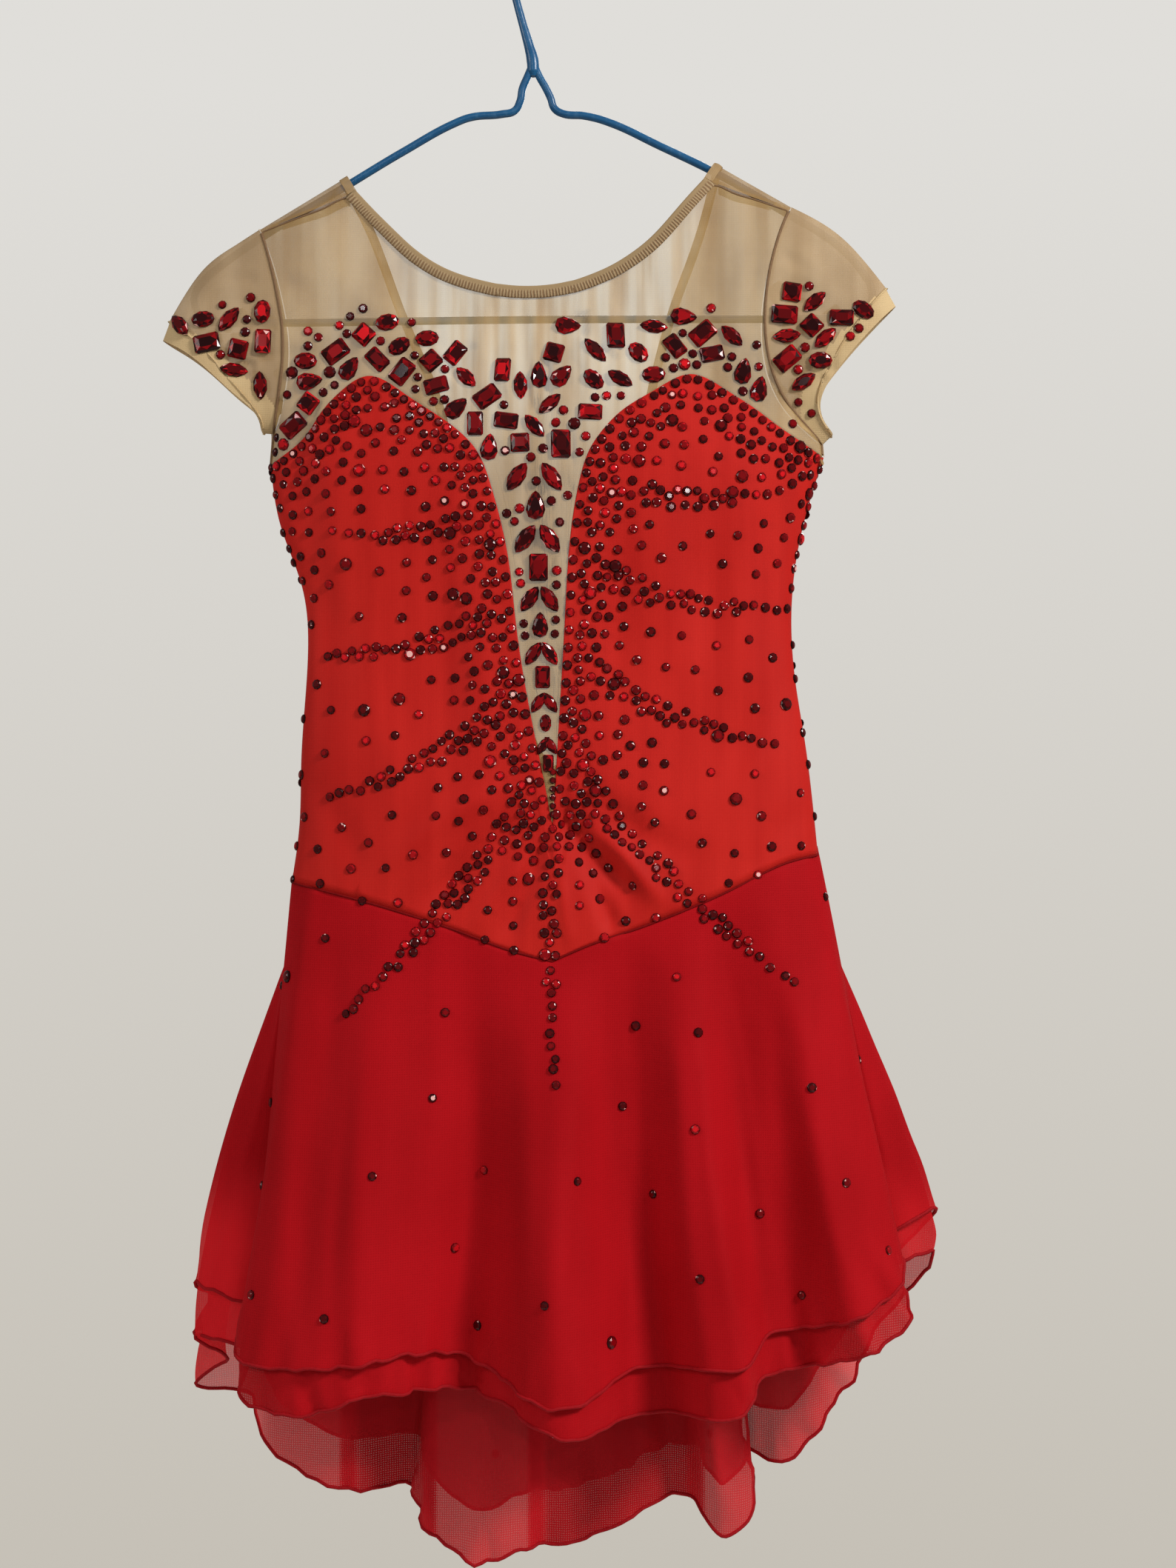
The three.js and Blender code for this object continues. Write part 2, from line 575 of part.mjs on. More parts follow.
// A wall laid along such rows, from one distance to another
function overShoulder(name, rows, [from, to], steps, [proud, under], roughness) {
  const fold = ROUND_ARM.length; // the row on top of the wire
  const grid = [];
  const normals = [];
  rows.forEach(({ face, inner, outer, depth }, i) => {
    const along = outer.clone().sub(inner);
    const length = along.length();
    const points = Array.from({ length: steps + 1 }, (_, j) => {
      const distance = lerp(from, Math.min(to, length), j / steps);
      return inner.clone().addScaledVector(along, distance / length);
    });
    const upwards = new THREE.Vector3(-along.z, 0, along.x).multiplyScalar(Math.sign(along.x)).normalize();
    grid.push(points.map((point) => (i === fold ? point.clone() : onBody(point, face))));
    normals.push(points.map((point) => (i === fold ? upwards.clone() : bodyNormal(point, face))));
    if (to >= length && i !== fold) grid[i][steps].setY(face === 'front' ? -depth : depth);
  });
  if (to === Infinity) {
    for (const row of normals.slice(0, 2)) row[steps].setY(Math.min(row[steps].y, 0)).normalize();
  }
  const outside = offsetGrid(grid, normals, () => proud);
  addPiece(name, wallGeometry(outside, offsetGrid(grid, normals, () => under)), NUDE, roughness);
}

function backYoke(side, shoulder) {
  const rows = backYokeRows(shoulder);
  overShoulder(`back_yoke_${side}`, rows, [NECK_BAND + SEAM, Infinity], 6, [0, -CLOTH], 0.8);
  const band = [NECK_BAND_WALL - CLOTH, -CLOTH];
  overShoulder(`back_neck_edge_${side}`, rows, [0, NECK_BAND], 1, band, 0.85);
}

// Front neck edge: the overlocked band along the scoop
function frontNeckEdge() {
  const scoop = neckline();
  const plane = [raise(scoop, -NECK_BAND), scoop];
  const grid = plane.map((row) => row.map((point) => onBody(point, 'front')));
  const normals = plane.map((row) => row.map((point) => bodyNormal(point, 'front')));
  const outside = offsetGrid(grid, normals, () => NECK_BAND_WALL - CLOTH);
  const inside = offsetGrid(grid, normals, () => -CLOTH);
  addPiece('front_neck_edge', wallGeometry(outside, inside), NUDE, 0.85);
}

// Cap sleeve: a flattened tube from the armhole to the cuff, open at both ends. The last
// stretch is the turned hem, with a second layer of cloth inside.
function sleeve(name, shoulder) {
  const fold = planeCurve(shoulder.sleeveFold);
  const cuff = planeCurve(shoulder.cuff);
  const length = fold.getLength();
  const hemStart = 1 - SLEEVE_HEM / length;
  const shares = [0, 0.22, 0.5, hemStart - 0.02, hemStart, 1]; // of the way to the cuff
  const angles = [...ROUND_ARM, ...ROUND_ARM.slice(1, -1).reverse().map((angle) => -angle)];
  const grid = shares.map((share) => angles.map((angle) => {
    const down = shareDown(angle);
    const seam = armholePoint(shoulder, Math.abs(angle), ARMHOLE_SEAM / 2);
    const point = seam.lerp(cuff.getPointAt(down), share);
    const straight = armholePoint(shoulder, 0, ARMHOLE_SEAM / 2).lerp(cuff.getPointAt(0), share);
    const bulge = fold.getPointAt(share).sub(straight).multiplyScalar((1 - down) * (share > 0 ? 1 : 0));
    point.add(bulge);
    point.y = -lerp(ARMHOLE_DEPTH, CUFF_DEPTH, share) * depthRound(angle);
    return point;
  }));
  const normals = outwardNormals(grid, true);
  const doubled = shares.map((share) => (share >= hemStart ? 2 * CLOTH : CLOTH));
  const inner = offsetGrid(grid, normals, (i) => -doubled[i]);
  addPiece(name, wallGeometry(grid, inner, true), NUDE, 0.8);
}

// ---------------------------------------------------------------- skirts

// Hem points of the outer layer, and the share of the waist seam that each hangs from
function hemColumns(table, middleFold) {
  const curve = new THREE.CatmullRomCurve3(table.map(({ x, y, z }) => new THREE.Vector3(x, y, z)));
  const spans = table.length - 1;
  const count = spans * STEPS_PER_FOLD;
  const columns = Array.from({ length: count + 1 }, (_, k) => {
    const place = k / STEPS_PER_FOLD;
    const i = Math.min(Math.floor(place), spans - 1);
    const read = (key) => lerp(table[i][key] ?? 0, table[i + 1][key] ?? 0, place - i);
    const hem = curve.getPoint(k / count);
    return { hem, bow: read('bow'), under: read('under'), lean: read('lean') };
  });
  const share = runningShare(columns.map(({ hem }) => hem));
  const middle = share[table.findIndex(({ fold }) => fold === middleFold) * STEPS_PER_FOLD];
  columns.forEach((column, k) => {
    const before = share[k] <= middle;
    column.waist = before ? share[k] / middle / 2 : 0.5 + (share[k] - middle) / (1 - middle) / 2;
  });
  return columns;
}

function waistPoint(share, face) {
  const curve = planeCurve(share < 0.5 ? WAIST_LEFT : WAIST_RIGHT);
  const along = share < 0.5 ? share * 2 : share * 2 - 1;
  const point = onBody(curve.getPointAt(along), face);
  point.z -= SEAM / 2;
  return point;
}

// Both layers of the front or of the back
function skirt(face, table, middleFold) {
  const columns = hemColumns(table, middleFold);
  const tops = columns.map(({ waist }) => waistPoint(waist, face));
  const seamShift = face === 'front' ? -SEAM / 2 : SEAM / 2;
  for (const column of [columns[0], columns[columns.length - 1]]) column.hem.y += seamShift;
  const outer = SKIRT_ROWS.map((share) => columns.map(({ hem, bow }, j) => {
    const point = tops[j].clone().lerp(hem, share);
    point.x += 4 * bow * share * (1 - share);
    return point;
  }));
  const normals = outwardNormals(outer);
  keepToSide(normals, face);
  const inner = offsetGrid(outer, normals, () => -SKIRT_CLOTH);
  addPiece(`skirt_outer_${face}`, wallGeometry(outer, inner), SKIRT_RED, 0.6);

  // the under layer stays joined at the side seams, straight inside the outer one
  for (const row of normals) {
    for (const normal of [row[0], row[row.length - 1]]) normal.setY(0).normalize();
  }
  const depth = (i) => -lerp(UNDER_AT_WAIST, UNDER_AT_HEM, SKIRT_ROWS[i]);
  const under = offsetGrid(outer, normals, depth);
  const hem = under[under.length - 1];
  const above = under[under.length - 2];
  under.push(hem.map((point, j) => {
    const along = point.clone().sub(above[j]).normalize();
    const hang = along.lerp(new THREE.Vector3(0, 0, -1), HEM_HANG).normalize();
    const end = point.clone().addScaledVector(hang, columns[j].under);
    return end.setX(end.x + columns[j].lean);
  }));
  const underNormals = outwardNormals(under);
  keepToSide(underNormals, face);
  const underInner = offsetGrid(under, underNormals, () => -SKIRT_CLOTH);
  addPiece(`skirt_under_${face}`, wallGeometry(under, underInner), SKIRT_RED, 0.6);
}

// ---------------------------------------------------------------- hanger

const wireSection = new THREE.Shape();
for (let k = 0; k < WIRE_SIDES; k++) {
  const angle = (2 * Math.PI * (k + 0.5)) / WIRE_SIDES;
  const [u, v] = [(WIRE / 2) * Math.cos(angle), (WIRE / 2) * Math.sin(angle)];
  if (k === 0) wireSection.moveTo(u, v);
  else wireSection.lineTo(u, v);
}
wireSection.closePath();

function wire(name, points, steps) {
  const path = planeCurve(points);
  const geometry = new THREE.ExtrudeGeometry(wireSection, { steps, bevelEnabled: false, extrudePath: path });
  addPiece(name, geometry, BLUE, 0.35);
}

function hangerHook() {
  const centre = [0, WIRE / 2 - HOOK_RADIUS];
  const bend = [];
  for (let angle = HOOK_LEAVES; angle >= HOOK_END; angle -= HOOK_STEP) {
    const turn = degToRad(angle);
    bend.push([centre[0] + HOOK_RADIUS * Math.cos(turn), centre[1] + HOOK_RADIUS * Math.sin(turn)]);
  }
  const foot = [[NECK_X, NECK_TOP + SEAM], [NECK_X, NECK_TOP + SEAM + STRAIGHT_FOOT]];
  wire('hanger_hook', [...foot, ...SHANK.slice().reverse(), ...bend], 32);
}

// The neck, where the coating covers the ends of both arms and the foot of the hook
function hangerNeck() {
  const soft = 1.2; // rounding of its ends
  const profile = [
    [0, NECK_BOTTOM], [NECK_RADIUS - soft, NECK_BOTTOM], [NECK_RADIUS, NECK_BOTTOM + soft],
    [NECK_RADIUS, NECK_TOP - soft], [NECK_RADIUS - soft, NECK_TOP], [0, NECK_TOP],
  ].map(([radius, height]) => new THREE.Vector2(radius, height));
  const geometry = new THREE.LatheGeometry(profile, 12);
  geometry.rotateX(Math.PI / 2);
  geometry.translate(NECK_X, 0, 0);
  addPiece('hanger_neck', geometry, BLUE, 0.35);
}

function hangerBar() {
  const towards = new THREE.Vector2(BAR_RIGHT[0] - BAR_LEFT[0], BAR_RIGHT[1] - BAR_LEFT[1]).normalize();
  const start = [BAR_LEFT[0] + towards.x * SEAM, BAR_LEFT[1] + towards.y * SEAM];
  const finish = [BAR_RIGHT[0] - towards.x * SEAM, BAR_RIGHT[1] - towards.y * SEAM];
  wire('hanger_bar', [start, finish], 1);
}

hangerHook();
hangerNeck();
wire('hanger_arm_left', ARM_LEFT, 38);
wire('hanger_arm_right', ARM_RIGHT, 38);
hangerBar();

frontYoke();
bodice('front_bodice', 'front', FRONT_BUST);
bodice('back_bodice', 'back', BACK_TOP);
backYoke('left', SHOULDERS.left);
backYoke('right', SHOULDERS.right);
frontNeckEdge();
sleeve('sleeve_left', SHOULDERS.left);
sleeve('sleeve_right', SHOULDERS.right);
skirt('front', FRONT_HEM, FRONT_MIDDLE);
skirt('back', BACK_HEM, BACK_MIDDLE);

export default dress;
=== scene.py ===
"""A figure skating dress on a coated wire hanger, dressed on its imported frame."""

import math
import random

import bmesh
import bpy
import numpy as np
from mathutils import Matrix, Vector, bvhtree, kdtree


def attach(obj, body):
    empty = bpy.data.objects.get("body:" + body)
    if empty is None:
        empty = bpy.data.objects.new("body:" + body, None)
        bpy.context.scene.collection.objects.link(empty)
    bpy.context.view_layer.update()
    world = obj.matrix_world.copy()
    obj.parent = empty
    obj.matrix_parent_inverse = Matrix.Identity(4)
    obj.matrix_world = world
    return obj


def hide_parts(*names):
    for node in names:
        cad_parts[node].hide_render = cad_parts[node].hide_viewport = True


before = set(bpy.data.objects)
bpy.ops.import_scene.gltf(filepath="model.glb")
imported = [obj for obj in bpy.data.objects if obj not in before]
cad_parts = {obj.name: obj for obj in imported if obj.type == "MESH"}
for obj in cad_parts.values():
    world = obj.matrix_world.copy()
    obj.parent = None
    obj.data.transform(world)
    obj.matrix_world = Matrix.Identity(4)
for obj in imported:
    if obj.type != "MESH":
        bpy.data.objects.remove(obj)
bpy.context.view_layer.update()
MM = 0.001  # a millimetre, in metres

# ---------------------------------------------------------------- studio
# A level camera in front of the dress and a round pale floor well below it. One large soft light
# stands high on the right, weaker ones on the left and behind the dress, and two small lamps are
# there for the glass stones to catch.

EYE = (0.0221, -1.205, -0.4845)
FLOOR_RADIUS, FLOOR_HEIGHT = 0.9, -1.28
LAMPS = [  # name, place, where it points, diameter in metres, watts, colour
    ("key_light", (1.5, -1.15, 0.75), (0, 0, -0.5), 0.5, 36, (1.0, 0.98, 0.95)),
    ("side_light", (-1.8, -1.0, 0.3), (0, 0, -0.5), 0.8, 9, (1.0, 0.97, 0.93)),
    ("back_light", (0.4, 1.9, 0.5), (0, 0, -0.5), 1.2, 16, (1, 1, 1)),
    ("left_sparkle", (-0.35, -1.5, 0.25), (0, 0, -0.4), 0.05, 1.6, (1, 1, 1)),
    ("right_sparkle", (0.5, -1.6, -0.1), (0, 0, -0.4), 0.05, 1.0, (1, 1, 1)),
]


def new_object(name, data):
    """An object that holds the given data, linked to the scene."""
    made = bpy.data.objects.new(name, data)
    bpy.context.scene.collection.objects.link(made)
    return made


def written(work, mesh):
    """The mesh with what a bmesh has become, smooth shaded; the bmesh is freed."""
    work.to_mesh(mesh)
    work.free()
    mesh.shade_smooth()
    return mesh


class Value:
    """A socket of a finish's nodes, so that sums of masks read as plain arithmetic."""

    def __init__(self, nodes, socket):
        self.nodes = nodes
        self.socket = socket

    def sum(self, operation, first, second):
        return self.nodes.node("Math", {"operation": operation}, {0: first, 1: second})

    def __add__(self, other):
        return self.sum("ADD", self, other)

    __radd__ = __add__

    def __sub__(self, other):
        return self.sum("SUBTRACT", self, other)

    def __rsub__(self, other):
        return self.sum("SUBTRACT", other, self)

    def __mul__(self, other):
        return self.sum("MULTIPLY", self, other)

    __rmul__ = __mul__

    def __pow__(self, other):
        return self.sum("POWER", self, other)


class Nodes:
    """A tree of shader nodes, and the one way in which its nodes are made."""

    def __init__(self, tree):
        self.tree = tree

    def feed(self, socket, value):
        if isinstance(value, Value):
            self.tree.links.new(value.socket, socket)
        else:
            socket.default_value = value

    def node(self, kind, settings=None, sockets=None, output=0):
        made = self.tree.nodes.new("ShaderNode" + kind)
        for key, value in (settings or {}).items():
            setattr(made, key, value)
        for key, value in (sockets or {}).items():
            self.feed(made.inputs[key], value)
        return Value(self, made.outputs[output])

    def place(self, output="Object"):
        return self.node("TexCoord", output=output)

    def part_of(self, place, axis):
        """One of a place's x, y and z, counted from 0."""
        return self.node("SeparateXYZ", {}, {0: place}, output=axis)

    def noise(self, place, scale, detail=2.0, roughness=0.5):
        sockets = {"Vector": place, "Scale": scale, "Detail": detail, "Roughness": roughness}
        return self.node("TexNoise", {}, sockets)

    def stretched(self, place, x, y, z):
        return self.node("Mapping", {}, {"Vector": place, "Scale": (x, y, z)})

    def bands(self, place, across, scale, distortion, detail, grain=1.0):
        """Parallel threads that follow one another across the X or the Y axis."""
        settings = {"wave_type": "BANDS", "bands_direction": across}
        sockets = {"Vector": place, "Scale": scale, "Distortion": distortion, "Detail": detail,
                   "Detail Scale": grain}
        return self.node("TexWave", settings, sockets)

    def eased(self, value, low, high, start=0.0, end=1.0):
        settings = {"interpolation_type": "SMOOTHSTEP"}
        sockets = {0: value, 1: low, 2: high, 3: start, 4: end}
        return self.node("MapRange", settings, sockets)

    def mix(self, share, first, second):
        """Blend of two colours; share 0 gives the first."""
        sockets = {0: share, 6: first, 7: second}
        return self.node("Mix", {"data_type": "RGBA"}, sockets, output=2)


class Finish(Nodes):
    """A material with a Principled shader."""

    def __init__(self, name):
        self.material = bpy.data.materials.new(name)
        self.material.use_nodes = True
        super().__init__(self.material.node_tree)
        self.shader = self.tree.nodes["Principled BSDF"]

    def set(self, **sockets):
        for key, value in sockets.items():
            self.feed(self.shader.inputs[key.replace("_", " ")], value)

    def bump(self, height, distance, strength=1.0):
        sockets = {"Height": height, "Distance": distance, "Strength": strength}
        self.feed(self.shader.inputs["Normal"], self.node("Bump", {}, sockets))


def linear(red, green, blue):
    """A display colour, 0 to 255, as the colour that a shader takes."""
    return tuple(((c / 255 + 0.055) / 1.055) ** 2.4 for c in (red, green, blue)) + (1.0,)


def two_tone(name, first, second, grain, **sockets):
    """A plain finish whose colour wanders between two display colours."""
    finish = Finish(name)
    drift = finish.noise(finish.place(), grain)
    finish.set(Base_Color=finish.mix(drift, linear(*first), linear(*second)), **sockets)
    return finish


camera_data = bpy.data.cameras.new("camera")
camera_data.lens = 50
camera_data.sensor_width = 36
camera = new_object("camera", camera_data)
camera.location = EYE
camera.rotation_euler = (math.radians(90), 0, 0)
bpy.context.scene.camera = camera
bpy.context.scene.view_settings.view_transform = "Standard"

for name, at, aim, size, watts, color in LAMPS:
    lamp_data = bpy.data.lights.new(name, "AREA")
    lamp_data.shape = "DISK"
    lamp_data.size, lamp_data.energy, lamp_data.color = size, watts, color
    lamp = new_object(name, lamp_data)
    lamp.location = at
    lamp.rotation_euler = (Vector(aim) - Vector(at)).to_track_quat("-Z", "Y").to_euler()

# the room is paler towards the top, and lights the dress less than it shows
world = bpy.data.worlds.new("pale_room")
world.use_nodes = True
bpy.context.scene.world = world
room = Nodes(world.node_tree)
backdrop = world.node_tree.nodes["Background"].inputs
height = room.node("MapRange", {}, {0: room.part_of(room.place("Generated"), 2), 1: -0.36, 2: 0.3})
room.feed(backdrop["Color"], room.mix(height, (0.555, 0.52, 0.46, 1), (0.745, 0.73, 0.70, 1)))
seen = room.node("LightPath", output="Is Camera Ray")
room.feed(backdrop["Strength"], room.node("MapRange", {}, {0: seen, 3: 0.34, 4: 1.0}))

floor_shape = bmesh.new()
bmesh.ops.create_circle(floor_shape, cap_ends=True, segments=96, radius=FLOOR_RADIUS)
bmesh.ops.translate(floor_shape, verts=floor_shape.verts, vec=(0, 0, FLOOR_HEIGHT))
floor = new_object("floor", written(floor_shape, bpy.data.meshes.new("floor")))
floor_paint = two_tone("pale_floor_paint", (222, 220, 214), (214, 212, 206), grain=3.0,
                       Roughness=0.9)
floor.data.materials.append(floor_paint.material)

# ---------------------------------------------------------------- hanger
# One steel wire bent into a hook, two sloping arms and a straight bar, dipped in blue plastic.
# The coating thickens and runs together where the arms meet under the hook.

WIRE_RADIUS = 2.1
# the wire's middle line in millimetres: x and z, and for the hook also how thick the coating is
HOOK = [
    (21.75, -32.0, 0.75), (23.9, -24.0, 1.0), (22.0, -12.9, 1.0), (15.4, -3.7, 1.0),
    (5.8, 1.4, 1.0), (-5.1, 1.6, 1.0), (-15.0, -3.2, 1.0), (-21.6, -11.9, 1.0),
    (-23.9, -22.0, 1.0), (-21.6, -35.0, 1.0), (-17.8, -50.0, 1.03), (-13.9, -64.4, 1.1),
    (-10.6, -76.0, 1.32), (-8.6, -84.0, 1.62), (-8.2, -90.5, 1.6), (-8.2, -93.0, 1.0),
]
ARM_LEFT = [
    (-9.2, -88.0), (-11.6, -93.6), (-14.2, -99.8), (-15.6, -107.0), (-18.5, -112.0),
    (-25.5, -113.9), (-42.0, -115.5), (-50.0, -118.2), (-80.0, -134.6), (-111.0, -153.3),
    (-159.5, -182.8), (-181.7, -198.5), (-190.0, -205.5), (-195.3, -213.5), (-194.6, -222.0),
    (-191.0, -227.3), (-184.0, -229.0), (-8.0, -227.6),
]
ARM_RIGHT = [
    (-7.2, -88.0), (-4.6, -93.6), (-1.4, -99.2), (1.4, -105.0), (3.6, -110.8), (8.5, -113.7),
    (20.0, -114.8), (33.0, -118.2), (62.0, -131.6), (92.0, -146.1), (134.5, -170.3),
    (152.0, -180.6), (166.0, -191.8), (174.0, -201.5), (178.8, -210.0), (178.6, -218.5),
    (175.2, -224.4), (168.0, -226.2), (-8.0, -227.6),
]


def add_piece(name, mesh, finish, slot, *nodes):
    """Links a finished mesh as a piece of the part, in place of the nodes it stands for."""
    mesh.name = name
    mesh.materials.clear()
    mesh.materials.append(finish.material)
    piece = new_object(name, mesh)
    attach(piece, "root")
    if nodes:
        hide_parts(*nodes)
    return piece


def evaluated_mesh(holder):
    """The mesh that a helper object comes to, smooth shaded; the helper is removed."""
    depsgraph = bpy.context.evaluated_depsgraph_get()
    mesh = bpy.data.meshes.new_from_object(holder.evaluated_get(depsgraph))
    bpy.data.objects.remove(holder)
    mesh.shade_smooth()
    return mesh


def round_wire(path, radius, sides, bent):
    """A round bar along (x, y, z, thickness) points in metres, bent or straight between them."""
    data = bpy.data.curves.new("wire", "CURVE")
    data.dimensions = "3D"
    data.bevel_depth = radius
    data.bevel_resolution = sides
    data.resolution_u = 8
    data.use_fill_caps = True
    spline = data.splines.new("BEZIER" if bent else "POLY")
    points = spline.bezier_points if bent else spline.points
    points.add(len(path) - 1)
    for point, (x, y, z, thick) in zip(points, path):
        point.co = (x, y, z) if bent else (x, y, z, 1)
        point.radius = thick
        if bent:
            point.handle_left_type = point.handle_right_type = "AUTO"
    mesh = evaluated_mesh(new_object("wire", data))
    bpy.data.curves.remove(data)
    return mesh


def joined(meshes):
    """Several meshes as one."""
    work = bmesh.new()
    for mesh in meshes:
        work.from_mesh(mesh)
    return written(work, bpy.data.meshes.new("joined"))


coating = Finish("blue_plastic_coating")
place = coating.place()
drips = coating.noise(place, 90.0, 3.0)
scuffs = coating.eased(coating.noise(coating.stretched(place, 1, 1, 0.35), 420.0), 0.5, 0.75)
blue = coating.mix(drips, linear(14, 72, 118), linear(28, 100, 148))
coating.set(Base_Color=coating.mix(scuffs * 0.25, blue, linear(70, 125, 165)),
            Roughness=0.3 + scuffs * 0.2, IOR=1.5)
coating.bump(drips + scuffs * 0.1, 0.0004)

runs = [[(x * MM, 0, z * MM, thick) for x, z, thick in HOOK]]
runs += [[(x * MM, 0, z * MM, 1.0) for x, z in arm] for arm in (ARM_LEFT, ARM_RIGHT)]
wire = joined([round_wire(run, WIRE_RADIUS * MM, sides=5, bent=True) for run in runs])
add_piece("wire_hanger", wire, coating, "hanger_coating",
          "hanger_hook", "hanger_neck", "hanger_arm_left", "hanger_arm_right", "hanger_bar")

# ---------------------------------------------------------------- bodice
# Red stretch knit, front and back: a sweetheart front split by a long V, a low open back, and a
# dropped waist seam that comes to a point. The cloth hangs empty, so it falls in long soft
# troughs, with drag folds from the foot of the V, and it carries most of the glass stones.

FRONT, BACK = Vector((0, -1, 0)), Vector((0, 1, 0))
PARTING = 0.12  # how far a panel keeps from the plane between front and back
THICK_WALL = 1.2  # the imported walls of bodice, yoke and sleeves
ROUND = 2.7  # radius of a small round stone
KNIT_WALL, WAIST_THREAD = 0.8, 0.65
AWAY = 0.3  # a ray that seeks the cloth starts this far off, in metres
# corners of the panels, x and z in millimetres
V_TIP, BACK_V_TIP, WAIST_POINT = (2.9, -506), (2.9, -480), (2.9, -580.5)
UNDERARMS, HIPS = ((-153, -306), (152, -304)), ((-142, -539), (150, -524))
# creases in millimetres: x and z of both ends, width, depth (below 0 for a ridge)
FRONT_CREASES = [
    (4, -496, 44, -550, 7, 5.2), (24, -490, 80, -528, 8, 3.0), (17, -522, 42, -580, 5, 3.0),
    (18, -506, 70, -552, 5, -3.0), (-2, -514, -24, -570, 5, 2.8), (-18, -504, -70, -560, 8, 3.8),
    (-26, -484, -84, -528, 7, -2.6), (-8, -520, -52, -580, 5, -2.0), (6, -524, 16, -584, 4, -1.6),
    (-128, -306, -120, -420, 9, 1.6), (-106, -330, -114, -450, 12, 1.3),
    (-92, -410, -84, -520, 10, -1.2), (-56, -330, -62, -470, 11, 1.4),
    (-40, -380, -38, -470, 8, -1.0), (34, -340, 42, -450, 10, 1.4), (64, -310, 68, -430, 12, -1.3),
    (92, -330, 92, -440, 12, 1.5), (126, -310, 118, -420, 9, 1.6), (126, -430, 92, -505, 9, 1.6),
    (118, -455, 84, -535, 7, -1.2), (140, -500, 96, -548, 8, 1.2), (-132, -480, -96, -540, 8, 1.2),
]
BACK_CREASES = [
    (-124, -320, -116, -440, 10, 1.6), (-92, -360, -98, -470, 12, 1.3),
    (-60, -430, -48, -540, 11, -1.3), (-24, -488, -52, -552, 8, 2.0), (10, -490, 40, -556, 9, 2.0),
    (34, -470, 60, -520, 8, -1.2), (74, -380, 82, -490, 12, 1.4), (104, -340, 108, -450, 10, -1.1),
    (128, -320, 118, -430, 9, 1.5), (-130, -470, -92, -536, 9, 1.2), (132, -450, 96, -530, 9, 1.3),
]
BODICE = [  # node, outward side, foot of its V, creases, flat size and area in metres
    ("front_bodice", FRONT, V_TIP, FRONT_CREASES, (0.31, 0.32), 0.074),
    ("back_bodice", BACK, BACK_V_TIP, BACK_CREASES, (0.31, 0.28), 0.059),
]
TRIES_PER_MM = 22  # random spots tried along a spray
# curved sprays of stones: x and z of start, middle and end, stones across at the start
SPRAYS = [
    (-32, -338, -66, -354, -118, -346, 2.2), (-24, -388, -60, -414, -122, -414, 2.4),
    (-16, -434, -52, -474, -120, -492, 2.5), (-6, -484, -40, -540, -112, -612, 2.5),
    (36, -322, 76, -336, 128, -324, 2.2), (28, -368, 70, -392, 132, -388, 2.4),
    (18, -416, 58, -452, 128, -464, 2.5), (11, -470, 50, -530, 134, -592, 2.5),
    (2.9, -508, 0, -566, 5, -646, 1.6),
]


def eased(value, low, high):
    """0 below low and 1 above high, with a soft rise between."""
    share = np.clip((value - low) / (high - low), 0, 1)
    return share * share * (3 - 2 * share)


def points_of(mesh):
    """Positions of a mesh's vertices as an array."""
    points = np.empty(len(mesh.vertices) * 3)
    mesh.vertices.foreach_get("co", points)
    return points.reshape(-1, 3)


def normals_of(mesh):
    return np.array([v.normal for v in mesh.vertices])


def set_points(mesh, points):
    mesh.vertices.foreach_set("co", points.ravel())
    mesh.update()


def opened(mesh):
    """A bmesh of a mesh, to work on."""
    work = bmesh.new()
    work.from_mesh(mesh)
    return work


def spread(start, near):
    """All that is reached from a start by going on to what is near."""
    reached, edge = {start}, [start]
    while edge:
        for other in near(edge.pop()):
            if other not in reached:
                reached.add(other)
                edge.append(other)
    return reached


def one_side(node, walls, outward=None, least_turn=0.05):
    """The outer face of a packed cloth wall, without its inner face and its rim.

    A rim's edges are as long as one of the walls is thick, and the normal turns along them.
    """
    cloth = opened(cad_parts[node].data)
    bmesh.ops.remove_doubles(cloth, verts=cloth.verts, dist=0.02 * MM)
    rim = set()
    for edge in cloth.edges:
        first, last = edge.verts
        through = last.co - first.co
        turned = abs(through.dot(first.normal) - through.dot(last.normal)) / through.length
        off = min(abs(through.length / MM - wall) for wall in walls)
        if turned > least_turn and off < 0.006:
            rim.update(edge.link_faces)
    bmesh.ops.delete(cloth, geom=list(rim), context="FACES")
    left, sides = set(cloth.faces), []
    while left:
        side = spread(next(iter(left)), lambda face: [f for e in face.edges for f in e.link_faces])
        left -= side
        weight = sum(f.calc_area() * (f.normal.dot(outward) if outward else 1) for f in side)
        sides.append((weight, list(side)))
    sides.sort(key=lambda side: side[0])
    for _, faces in sides[:-1]:
        bmesh.ops.delete(cloth, geom=faces, context="FACES")
    return cloth


